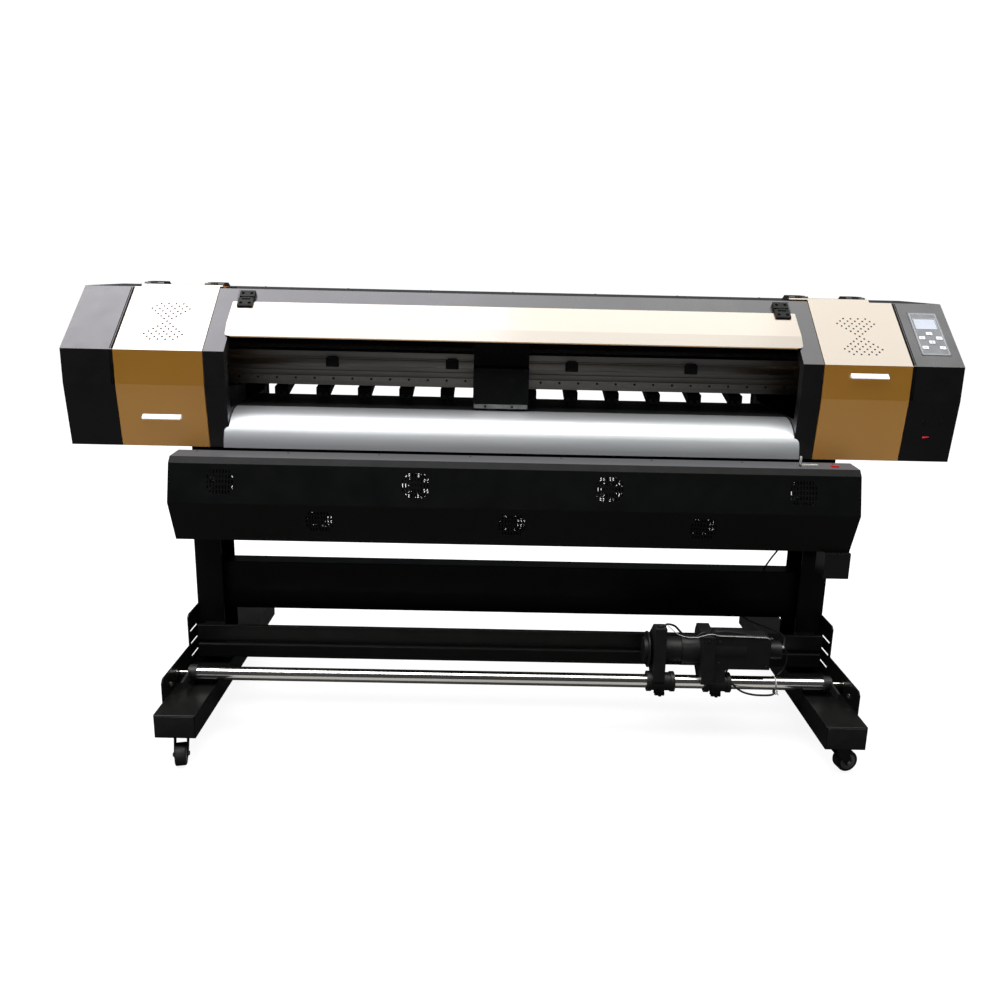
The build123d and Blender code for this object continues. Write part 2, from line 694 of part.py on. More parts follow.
# ---------------------------------------------------------------- control panel
def control_panel():
    """Panel plate with a display pocket and a hole for each key."""
    width, height = PANEL_SIZE
    plane = slope_plane(PANEL_X, PANEL_SLOPE)
    plate = Pos(0, 0, -1) * Box(width, height, 4.4)
    plate = fillet(plate.edges().filter_by(Axis.Z), 4)
    lcd_y = LCD_SLOPE - PANEL_SLOPE
    plate -= Pos(0, lcd_y, 1.0) * Box(LCD_SIZE[0] + 0.4, LCD_SIZE[1] + 0.4, 3.6)
    for dx, distance in KEYS.values():
        hole = Box(KEY_SIZE[0] + 0.5, KEY_SIZE[1] + 0.5, 12)
        plate -= Pos(dx, distance - PANEL_SLOPE, 0) * fillet(hole.edges().filter_by(Axis.Z), 2.2)
    return plane * plate


def lcd_window():
    """Clear window in the display pocket."""
    plane = slope_plane(PANEL_X, LCD_SLOPE)
    return plane * Pos(0, 0, -0.1) * Box(LCD_SIZE[0], LCD_SIZE[1], 1.4)


def panel_key(dx, distance):
    """One push key with rounded corners."""
    key = Pos(0, 0, 0) * Box(KEY_SIZE[0], KEY_SIZE[1], 4.4)
    key = fillet(key.edges().filter_by(Axis.Z), 2.0)
    return slope_plane(PANEL_X + dx, distance) * key


# ---------------------------------------------------------------- stand
def foot(side):
    """Hollow floor rail with holes for the caster stems."""
    x = stand_range(side, FOOT_INNER, FOOT_OUTER)
    y = (-FOOT_HALF_LENGTH, FOOT_HALF_LENGTH)
    skin = 3.0
    rail = block(x, y, FOOT_Z)
    rail -= block((x[0] + skin, x[1] - skin), (y[0] + skin, y[1] - skin),
                  (FOOT_Z[0] + skin, FOOT_Z[1] - skin))
    for end in (-1, 1):
        stem_x = STAND_X + side * (FOOT_INNER + FOOT_OUTER) / 2
        rail -= rod_z(6 + RUNNING, stem_x, end * CASTER_Y, (FOOT_Z[0] - 1, FOOT_Z[0] + skin + 1))
    return rail


def upright(side):
    """Folded channel post, open towards the middle of the stand."""
    x = stand_range(side, UPRIGHT_INNER, FOOT_OUTER)
    z = (FOOT_Z[1], STAND_TOP)
    inside = stand_range(side, UPRIGHT_INNER - 1, FOOT_OUTER - STAND_SHEET)
    post = block(x, UPRIGHT_Y, z)
    return post - block(inside, (UPRIGHT_Y[0] + STAND_SHEET, UPRIGHT_Y[1] - STAND_SHEET),
                        (z[0] + STAND_SHEET, z[1] - STAND_SHEET))


def upper_crossbeam():
    """Wide hollow tie between the posts."""
    half = FOOT_OUTER - STAND_SHEET - GAP
    x = (STAND_X - half, STAND_X + half)
    beam = block(x, (-5, 55), (288, 446))
    return beam - block((x[0] - 1, x[1] + 1), (-2, 52), (291, 443))


def lower_crossbeam():
    """Shallow folded tie in front of the posts, with a groove and two end pads."""
    half = 978.0
    x = (STAND_X - half, STAND_X + half)
    outline = [(-118, 170), (-118, 212), (-112, 214), (-112, 225), (-118, 227), (-118, 275),
               (-104, 275), (-104, 170)]
    beam = prism_x(outline, x)
    beam -= block((x[0] - 1, x[1] + 1), (-109, -103), (173, 272))
    for side in (-1, 1):
        beam += block(stand_range(side, UPRIGHT_INNER + 1, half), (-110, UPRIGHT_Y[0]), (180, 255))
    return beam


def side_plate(side):
    """Outer bracket plate that ties post and foot together and holds the take-up."""
    x = stand_range(side, FOOT_OUTER, FOOT_OUTER + STAND_SHEET)
    outline = [(-340, 84), (-355, 99), (-355, 200), (-345, 211), (-128, 211), (-128, 303),
               (-119, 312), (95, 312), (95, 84)]
    plate = prism_x(outline, x)
    slots = []
    for z in (252.0, 211.0, 169.0):
        slots.append(block((x[0] - 1, x[1] + 1), (-117, -53), (z - 4, z + 4)))
    return plate - slots


def stand_bolts():
    """Hex heads on the side plates and the bright spacers of the take-up tube."""
    bolts = []
    face = FOOT_OUTER + STAND_SHEET
    for side in (-1, 1):
        for y, z in ((-20, 290), (75, 290), (-20, 180), (75, 180), (-300, 110), (60, 110)):
            head = extrude(Plane.YZ * RegularPolygon(7.0, 6), 5)
            start = STAND_X + side * face - (5 if side < 0 else 0)
            bolts.append(Pos(start, y, z) * head)
        bolts.append(rod_x(7.0, TUBE_AXIS, stand_range(side, HOLDER_X[1], FOOT_OUTER)))
    return bolts


def base_beam():
    """Long hollow beam on the stand that the head rests on."""
    half = 1005.0
    x = (STAND_X - half, STAND_X + half)
    beam = block(x, (0, 240), (STAND_TOP, HEAD_FLOOR))
    return beam - block((x[0] + 3, x[1] - 3), (3, 237), (STAND_TOP + 3, HEAD_FLOOR + 1))


def caster(name):
    """(fork, wheel) of one swivel caster."""
    side_x, side_y, heading = CASTERS[name]
    top = FOOT_Z[0] - 0.2
    leg_in, leg_out = WHEEL_WIDTH / 2 + 1, WHEEL_WIDTH / 2 + 4
    axle_z = WHEEL_RADIUS - LIFT
    fork = rod_z(26, 0, 0, (top - 5, top)) + rod_z(6, 0, 0, (top - 1, top + 16))
    for k in (-1, 1):
        outline = [(-16, top - 2), (16, top - 2), (CASTER_TRAIL + 9, axle_z + 4),
                   (CASTER_TRAIL + 7, axle_z - 8), (CASTER_TRAIL - 7, axle_z - 8), (-8, axle_z + 24)]
        leg = Plane.XZ.offset(k * (leg_in + leg_out) / 2 - 1.5) * make_face(
            Polyline(*outline, close=True))
        fork += extrude(leg, 3)
    fork += rod_y(WHEEL_AXLE, CASTER_TRAIL, axle_z, (-leg_out - 2, leg_out + 2))
    wheel = rod_y(WHEEL_RADIUS, CASTER_TRAIL, axle_z, (-WHEEL_WIDTH / 2, WHEEL_WIDTH / 2))
    wheel = fillet(wheel.edges(), 4)
    wheel -= rod_y(WHEEL_AXLE + RUNNING, CASTER_TRAIL, axle_z, (-WHEEL_WIDTH, WHEEL_WIDTH))
    place = Pos(STAND_X + side_x * (FOOT_INNER + FOOT_OUTER) / 2, side_y * CASTER_Y, 0)
    turn = Rot(0, 0, heading)
    return place * turn * fork, place * turn * wheel


# ---------------------------------------------------------------- dryer hood
def hood_face_plane(x, z, upper):
    """Local x along the hood, y up its front face, z out of it."""
    low, high = (HOOD_PROFILE[3], HOOD_PROFILE[2]) if upper else (HOOD_PROFILE[4], HOOD_PROFILE[3])
    part = (z - low[1]) / (high[1] - low[1])
    y = low[0] + part * (high[0] - low[0])
    angle = atan2(high[1] - low[1], high[0] - low[0])
    return Plane(origin=(x, y, z), x_dir=(1, 0, 0), z_dir=(0, -sin(angle), cos(angle)))


def fan_planes():
    """The seven fan places, alternately high and low along the hood."""
    planes = []
    for k in range(-3, 4):
        upper = k % 2 != 0
        z = FAN_HIGH_Z if upper else FAN_LOW_Z
        planes.append(hood_face_plane(FAN_PITCH * k + 2, z, upper))
    return planes


def grille_slots():
    """Short upright slots in front of one fan, as a round field."""
    field = 45.0
    column_pitch, row_pitch = 9.0, 15.0
    slot = (4.0, 11.0)
    cutters = []
    for row in range(-3, 4):
        for column in range(-5, 6):
            x, y = column * column_pitch, row * row_pitch
            if x * x + y * y < (field - 3) ** 2:
                cutters.append(Pos(x, y, 0) * Box(slot[0], slot[1], 12))
    return cutters


def hood_shell():
    """Folded sheet hood, open at the back, with fan grilles and two mounting arms."""
    skin = SHEET
    x = (STAND_X - HOOD_HALF, STAND_X + HOOD_HALF)
    shell = prism_x(HOOD_PROFILE, x)
    shell -= prism_x(HOOD_PROFILE, (x[0] + skin, x[1] - skin), skin)
    shell -= block((x[0] + 90, x[1] - 90), (-100, -80), (590, 806))
    cutters = []
    for plane in fan_planes():
        cutters.extend(plane * cutter for cutter in grille_slots())
    shell -= cutters
    shell -= switch_hole()
    for side in (-1, 1):
        shell += block(stand_range(side, 946, 954), (-91, UPRIGHT_Y[0]), (640, 760))
    return shell


SWITCH = (958.0, -135.0, 826.2)


def switch_hole():
    """The cut-out for the rocker in the top of the hood."""
    x, y, z = SWITCH
    return Pos(x, y, z) * Box(23, 17, 14)


def rocker_switch():
    """Red rocker with a shallow V top, turning on a round trunnion along its length."""
    x, y, z = SWITCH
    outline = [(-7, -6), (-7, 4), (0, 2.2), (7, 4), (7, -6)]
    face = Plane.YZ.offset(-10) * outline_face(outline)
    trunnion = rod_x(1.5, (0, 0), (-11.2, 11.2))
    return Pos(x, y, z) * (extrude(face, 20) + trunnion)


def cooling_fan(plane):
    """A square fan: its frame with four struts and the rotor with its blades."""
    middle = -SHEET - 0.5 - FAN_DEPTH / 2
    hub = 17.0
    frame = Box(FAN_SIZE, FAN_SIZE, FAN_DEPTH) - Cylinder(FAN_OPEN, FAN_DEPTH + 2)
    for k in range(4):
        strut = Pos(30, 0, -FAN_DEPTH / 2 + 1.5) * Box(34, 4, 3)
        frame += Rot(0, 0, 90 * k + 20) * strut
    frame += Pos(0, 0, -FAN_DEPTH / 2 + 1.5) * Cylinder(hub, 3)
    rotor = Pos(0, 0, 2) * Cylinder(hub, FAN_DEPTH - 7)
    for k in range(7):
        blade = Pos(28, 0, 2) * Rot(35, 0, 0) * Box(26, 18, 1.6)
        rotor += Rot(0, 0, 360 / 7 * k) * blade
    return [plane * Pos(0, 0, middle) * frame, plane * Pos(0, 0, middle) * rotor]


def junction_box():
    """Small mains box under the right end of the hood."""
    box = block((946, STAND_X + HOOD_HALF), (-172, -100), (488, 567.5))
    box = fillet(box.edges().filter_by(Axis.Z), 3)
    return box


# ---------------------------------------------------------------- take-up
def takeup_tube():
    """Polished steel tube across the front of the stand."""
    span = (STAND_X - TUBE_HALF, STAND_X + TUBE_HALF)
    tube = rod_x(TUBE_RADIUS, TUBE_AXIS, span)
    return tube - rod_x(TUBE_RADIUS - 2.5, TUBE_AXIS, (span[0] - 1, span[1] + 1))


def tube_holder(side):
    """Black socket for one end of the tube, with a stop arm towards the front."""
    y, z = TUBE_AXIS
    foot_inner = HOLDER_X[1] - 14
    holder = rod_x(24, TUBE_AXIS, stand_range(side, *HOLDER_X))
    holder += block(stand_range(side, foot_inner, HOLDER_X[1]), (y - 16, y + 16), (FOOT_Z[1], z))
    holder -= rod_x(TUBE_RADIUS + RUNNING, TUBE_AXIS, stand_range(side, 930, TUBE_HALF + 0.5))
    arm = prism_x([(y - 80, z - 8), (y - 80, z + 10), (y - 20, z + 16), (y - 20, z - 16)],
                  stand_range(side, HOLDER_X[1] - 8, HOLDER_X[1] - 1))
    return holder + arm


def takeup_clamp(x):
    """Clamp body around the tube, bored for it and for its knob screw."""
    y, z = TUBE_AXIS
    body = rod_x(CLAMP_RADIUS, TUBE_AXIS, x)
    middle = sum(x) / 2
    for k in (x[0] + 6, x[1] - 6):
        body += rod_x(CLAMP_RIM, TUBE_AXIS, (k - 6, k + 6))
    body += block((middle - 13, middle + 13), (y - 13, y + 13), (CLAMP_LOW, z - 20))
    body -= rod_x(TUBE_RADIUS + RUNNING, TUBE_AXIS, (x[0] - 1, x[1] + 1))
    body -= rod_z(KNOB_SCREW + RUNNING, middle, y, (CLAMP_LOW - 1, z - TUBE_RADIUS))
    return body


def takeup_arms():
    """Clamps, support arms, the bearing barrel and the gear head as one casting."""
    first = (433.0, 467.0)
    arms = takeup_clamp(TAKEUP_CLAMPS[0]) + takeup_clamp(TAKEUP_CLAMPS[1])
    arms += prism_x([(-272, 190), (-262, 354), (-222, 354), (-165, 300), (-165, 225), (-216, 178)],
                    first)
    arms += prism_x([(-274, 185), (-262, 330), (-170, 337), (-155, 310), (-155, 222), (-216, 178)],
                    GEAR_X)
    arms += prism_x([(-262, 228), (-268, 178), (-250, 178), (-240, 228)], (GEAR_X[1] - 1, 648))
    arms += rod_x(40, CORE_AXIS, (first[1] - 1, 545))
    arms += rod_x(46, CORE_AXIS, (522, GEAR_X[0] + 1))
    arms -= rod_x(TUBE_RADIUS + RUNNING, TUBE_AXIS, (400, 700))
    return arms - rod_x(SHAFT_RADIUS + RUNNING, CORE_AXIS, (430, 556))


def takeup_motor():
    """Round motor behind a flat front cover with a rounded shoulder."""
    start = GEAR_X[1] + GAP
    cover = block((start, MOTOR_END), (-262, -222), (241, 338))
    shoulder = cover.edges().filter_by(Axis.Y).sort_by(Axis.Z)[-2:].sort_by(Axis.X)[-1]
    cover = fillet(shoulder, 22)
    brow = cover.edges().filter_by(Axis.X).sort_by(Axis.Z)[-2:].sort_by(Axis.Y)[0]
    cover = fillet(brow, 5)
    cover += block((start, MOTOR_END), (-262, -222), (230, 242))
    cover += rod_x(52, (-214, 286), (start, 706))
    cover += rod_x(40, (-214, 282), (705, MOTOR_END - 8))
    cover += rod_x(28, (-214, 272), (MOTOR_END - 9, MOTOR_END + 42))
    return cover + rod_x(7, (-240, 318), (MOTOR_END - 1, MOTOR_END + 9))


def core_flange():
    """Short core spigot with its thin flange disc and the shaft in the bearing barrel."""
    spigot = rod_x(SPIGOT_RADIUS, CORE_AXIS, (410, 422))
    spigot += rod_x(54, CORE_AXIS, (421, 425)) + rod_x(30, CORE_AXIS, (424, 430))
    return spigot + rod_x(SHAFT_RADIUS, CORE_AXIS, (429, 550))


def clamp_knob(x):
    """Star knob with six lobes and its screw, under a clamp."""
    y, z = TUBE_AXIS
    top = CLAMP_LOW - 0.5
    low = top - 10
    knob = rod_z(12, x, y, (low, top))
    for k in range(6):
        angle = radians(60 * k + 30)
        knob += rod_z(5, x + 12 * cos(angle), y + 12 * sin(angle), (low, top - 1.5))
    return knob + rod_z(KNOB_SCREW, x, y, (top - 1, z - TUBE_RADIUS - 2))


# ---------------------------------------------------------------- build all nodes
def build():
    """Make every node of the machine."""
    save("end_caps", *both_sides(end_cap))
    save("inner_panels", *both_sides(inner_panel))
    save("side_frames", *both_sides(side_frame))
    save("top_cover", top_cover())
    save("rear_cover", rear_cover())
    save("hinge_bases", *both_sides(lid_hinge_base),
         *[cover_hinge(side, x) for side in (-1, 1) for x in COVER_HINGE_X[side]])
    save("left_cover", service_cover(-1))
    save("right_cover", service_cover(1))
    save("left_handle", bar_handle(-1044.0, 57.0, 927.0))
    save("right_handle", bar_handle(1045.0, 55.0, 1094.0))
    save("front_lid", front_lid())
    save("lid_hinge_leaves", *both_sides(lid_hinge_leaf))

    save("platen", platen())
    save("media_guides", front_guide(), rear_guide())
    save("grit_roller", grit_roller())
    save("pinch_arms", *[pinch_arm(x) for x in pinch_places()])
    save("pinch_rollers", *[r for x in pinch_places() for r in pinch_rollers_at(x)])
    save("lift_shaft", rod_x(6.0, PINCH_PIVOT, (-842, 842)))

    save("rail_beam", rail_beam())
    save("linear_rail", linear_rail())
    save("drive_belt", drive_belt())
    save("carriage_motor", *both_sides(drive_motor))
    save("carriage_cover", carriage_cover())
    save("carriage_base", *carriage_base())
    save("ink_tanks", *ink_tanks())
    save("capping_station", capping_station())

    save("control_panel", control_panel())
    save("lcd_window", lcd_window())
    for name, (dx, distance) in KEYS.items():
        save(name, panel_key(dx, distance))

    save("feet", *both_sides(foot))
    save("uprights", *both_sides(upright))
    save("upper_crossbeam", upper_crossbeam())
    save("lower_crossbeam", lower_crossbeam())
    save("side_plates", *both_sides(side_plate))
    save("stand_bolts", *stand_bolts())
    save("base_beam", base_beam())
    for name in CASTERS:
        fork, wheel = caster(name)
        save(name + "_fork", fork)
        save(name + "_wheel", wheel)

    save("hood_shell", hood_shell())
    save("cooling_fans", *[piece for plane in fan_planes() for piece in cooling_fan(plane)])
    save("junction_box", junction_box())
    save("rocker_switch", rocker_switch())

    save("takeup_tube", takeup_tube())
    save("tube_holders", *both_sides(tube_holder))
    save("takeup_arms", takeup_arms())
    save("takeup_motor", takeup_motor())
    save("core_flange", core_flange())
    for name, span in zip(("clamp_knob_left", "clamp_knob_right"), TAKEUP_CLAMPS):
        save(name, clamp_knob(sum(span) / 2))


def write():
    """Write one STEP file per node."""
    os.makedirs("parts", exist_ok=True)
    for name, solids in PARTS.items():
        raised = [Pos(0, 0, LIFT) * solid for solid in solids]
        shape = raised[0] if len(raised) == 1 else Compound(children=raised)
        export_step(shape, "parts/" + name + ".step")


build()
write()
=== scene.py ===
import json
import random
from math import copysign, cos, pi, radians, sin, tau

import bmesh
import bpy
from mathutils import Matrix, Vector


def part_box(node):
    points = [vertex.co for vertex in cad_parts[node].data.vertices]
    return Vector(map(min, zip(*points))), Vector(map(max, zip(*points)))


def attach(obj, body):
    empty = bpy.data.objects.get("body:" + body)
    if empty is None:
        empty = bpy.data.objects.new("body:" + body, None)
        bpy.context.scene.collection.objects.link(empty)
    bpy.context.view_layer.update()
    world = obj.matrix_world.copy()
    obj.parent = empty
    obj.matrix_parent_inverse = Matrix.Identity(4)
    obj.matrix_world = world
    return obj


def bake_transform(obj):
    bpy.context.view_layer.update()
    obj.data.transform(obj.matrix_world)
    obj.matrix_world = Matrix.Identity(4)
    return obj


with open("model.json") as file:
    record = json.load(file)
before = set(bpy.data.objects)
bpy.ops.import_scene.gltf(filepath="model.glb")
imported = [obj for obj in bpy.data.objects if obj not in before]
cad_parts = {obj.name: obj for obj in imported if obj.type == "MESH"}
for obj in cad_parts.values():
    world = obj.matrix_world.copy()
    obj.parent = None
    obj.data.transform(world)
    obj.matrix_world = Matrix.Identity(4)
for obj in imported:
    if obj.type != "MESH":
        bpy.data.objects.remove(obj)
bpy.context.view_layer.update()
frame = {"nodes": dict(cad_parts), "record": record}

MM = 0.001
scene = bpy.context.scene
LIFT = Vector((0, 0, 18.0))
random.seed(7)


# ---------------------------------------------------------------- places on the CAD parts
def low(node):
    """Lowest corner of a CAD node, in millimetres."""
    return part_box(node)[0] / MM - LIFT


def high(node):
    """Highest corner of a CAD node, in millimetres."""
    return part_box(node)[1] / MM - LIFT


def middle(node):
    """Middle of a CAD node's box, in millimetres."""
    return (low(node) + high(node)) / 2


HEAD_FRONT = low("end_caps").y          # the upright front face of the head
HEAD_TOP = high("top_cover").z
HEAD_FLOOR = low("end_caps").z
HEAD_BACK = high("rear_cover").y
CAP_OUTER = high("end_caps").x
CAP_INNER = high("right_cover").x + 1.0
COVER_INNER = low("right_cover").x
TOE_Y = HEAD_FRONT + 23.0               # the front leans back to here at the floor of the head
BEND_Z = HEAD_FLOOR + 188.0
BREAK_Z = BEND_Z + 102.0                # the slanted face starts here
CREST_Y = HEAD_FRONT + 192.0            # and meets the top deck here
SLOPE = Vector((0, CREST_Y - HEAD_FRONT, HEAD_TOP - BREAK_Z))
SLOPE_LENGTH = SLOPE.length
UP = SLOPE.normalized()
OUT = Vector((0, -UP.z, UP.y))


def at(x, y, z):
    """A place with the world's axes."""
    return Matrix.Translation((x, y, z))


def frame_at(point, x_axis, y_axis):
    """A place with the given local x and y axes."""
    x_axis, y_axis = Vector(x_axis).normalized(), Vector(y_axis).normalized()
    z_axis = x_axis.cross(y_axis)
    place = Matrix((x_axis, y_axis, z_axis)).transposed().to_4x4()
    place.translation = Vector(point)
    return place


def on_slope(x, distance, rise=0.0):
    """On the slanted face: local x along the machine, y up the face, z out of it."""
    point = Vector((x, HEAD_FRONT, BREAK_Z)) + UP * distance + OUT * rise
    return frame_at(point, (1, 0, 0), UP)


def facing_front(x, y, z):
    """Local z points to the front, local y up."""
    return frame_at((x, y, z), (1, 0, 0), (0, 0, 1))


def facing_back(x, y, z):
    """Local z points to the back, local y up."""
    return frame_at((x, y, z), (-1, 0, 0), (0, 0, 1))


def facing_side(x, y, z, side):
    """Local z points to the left (-1) or right (1), local y up."""
    return frame_at((x, y, z), (0, side, 0), (0, 0, 1))


def front_y(z):
    """The front face of the towers at height z."""
    if z > BEND_Z:
        return HEAD_FRONT
    return TOE_Y + (HEAD_FRONT - TOE_Y) * (z - HEAD_FLOOR) / (BEND_Z - HEAD_FLOOR)


# ---------------------------------------------------------------- mesh building
class Shape:
    """Gathers surfaces, in millimetres, that become one object."""

    def __init__(self):
        self.points = []
        self.faces = []

    def add(self, points, faces, place):
        """Take in points, moved to a place, and the faces between them."""
        start = len(self.points)
        self.points.extend(place @ Vector(p) for p in points)
        self.faces.extend([start + i for i in face] for face in faces)

    def prism(self, outline, depth, place):
        """A flat outline in local x and y, raised by depth along local z."""
        count = len(outline)
        points = [(x, y, 0) for x, y in outline] + [(x, y, depth) for x, y in outline]
        faces = [list(range(count))[::-1], list(range(count, 2 * count))]
        for i in range(count):
            j = (i + 1) % count
            faces.append([i, j, count + j, count + i])
        self.add(points, faces, place)

    def plate(self, width, height, depth, place, corner):
        """A plate with rounded corners, standing on local z 0."""
        self.prism(rounded(width, height, corner), depth, place)

    def lathe(self, profile, place, sides=24, closed=False, turn=0.0):
        """A (radius, height) profile turned about local z."""
        points, rings = [], []
        for radius, rise in profile:
            if radius < 1e-6:
                rings.append([len(points)] * sides)
                points.append((0, 0, rise))
                continue
            rings.append(list(range(len(points), len(points) + sides)))
            for k in range(sides):
                angle = tau * k / sides + turn
                points.append((radius * cos(angle), radius * sin(angle), rise))
        faces = []
        pairs = list(zip(rings, rings[1:]))
        if closed:
            pairs.append((rings[-1], rings[0]))
        for lower, upper in pairs:
            for k in range(sides):
                n = (k + 1) % sides
                face = [lower[k], lower[n], upper[n], upper[k]]
                faces.append(list(dict.fromkeys(face)))
        self.add(points, faces, place)

    def screw(self, place, radius, height):
        """A low round head with a socket."""
        self.lathe([(0, 0), (radius, 0), (radius, 0.5 * height), (0.82 * radius, height),
                    (0.5 * radius, height), (0.44 * radius, 0.35 * height), (0, 0.3 * height)],
                   place, sides=16)

    def hex_bolt(self, place, radius, height):
        """A chamfered hexagon on a washer."""
        self.lathe([(0, 0), (1.5 * radius, 0), (1.5 * radius, 0.9), (0.9 * radius, 1.0)], place)
        self.lathe([(radius, 0.8), (radius, height - 0.8), (0.82 * radius, height), (0, height)],
                   place, sides=6, turn=random.uniform(0, 1))

    def cord(self, path, radius, sides=10, steps=8):
        """A round cord through the points of a path."""
        line = smooth_path([Vector(p) for p in path], steps)
        heading = (line[1] - line[0]).normalized()
        side = heading.orthogonal().normalized()
        points, faces = [], []
        for i, point in enumerate(line):
            ahead = line[min(i + 1, len(line) - 1)] - line[max(i - 1, 0)]
            heading = ahead.normalized()
            side = (side - heading * side.dot(heading)).normalized()
            other = heading.cross(side)
            for k in range(sides):
                angle = tau * k / sides
                offset = side * cos(angle) + other * sin(angle)
                points.append(point + offset * radius)
        for i in range(len(line) - 1):
            for k in range(sides):
                n = (k + 1) % sides
                a, b = i * sides, (i + 1) * sides
                faces.append([a + k, a + n, b + n, b + k])
        faces.append(list(range(sides))[::-1])
        faces.append(list(range(len(points) - sides, len(points))))
        self.add(points, faces, Matrix())

    def build(self, name, finish, body="frame", edge=0.0):
        """Make the object, round its edges and let it move with a body, if it has one."""
        mesh = bpy.data.meshes.new(name)
        mesh.from_pydata([(p + LIFT) * MM for p in self.points], [], self.faces)
        work = bmesh.new()
        work.from_mesh(mesh)
        bmesh.ops.recalc_face_normals(work, faces=work.faces)
        if edge:
            sharp = [e for e in work.edges if e.is_manifold and e.calc_face_angle(0) > 0.6]
            bmesh.ops.bevel(work, geom=sharp, offset=edge * MM, segments=2, profile=0.5,
                            affect="EDGES", clamp_overlap=True)
        for face in work.faces:
            face.smooth = True
        for e in work.edges:
            if e.is_manifold and e.calc_face_angle(0) > 0.7:
                e.smooth = False
        work.to_mesh(mesh)
        work.free()
        mesh.materials.append(finish.material)
        piece = bpy.data.objects.new(name, mesh)
        scene.collection.objects.link(piece)
        if body:
            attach(piece, body)
        return piece


def rounded(width, height, corner):
    """Outline of a rectangle round the origin, with rounded corners."""
    w, h, steps = width / 2, height / 2, 4
    outline = []
    for k, (x, y) in enumerate([(w, -h), (w, h), (-w, h), (-w, -h)]):
        cx, cy = copysign(w - corner, x), copysign(h - corner, y)
        for s in range(steps + 1):
            angle = radians(-90 + 90 * k + 90 * s / steps)
            outline.append((cx + corner * cos(angle), cy + corner * sin(angle)))
    return outline


def smooth_path(points, steps):
    """Catmull-Rom curve through the points."""
    padded = [2 * points[0] - points[1], *points, 2 * points[-1] - points[-2]]
    line = []
    for a, b, c, d in zip(padded, padded[1:], padded[2:], padded[3:]):
        for s in range(steps):
            t = s / steps
            line.append(0.5 * (2 * b + (c - a) * t + (2 * a - 5 * b + 4 * c - d) * t * t
                               + (3 * b - a - 3 * c + d) * t ** 3))
    line.append(points[-1])
    return line


# ---------------------------------------------------------------- materials
LOOKS = {}                 # finish by name; a node gets the one named after its material slot


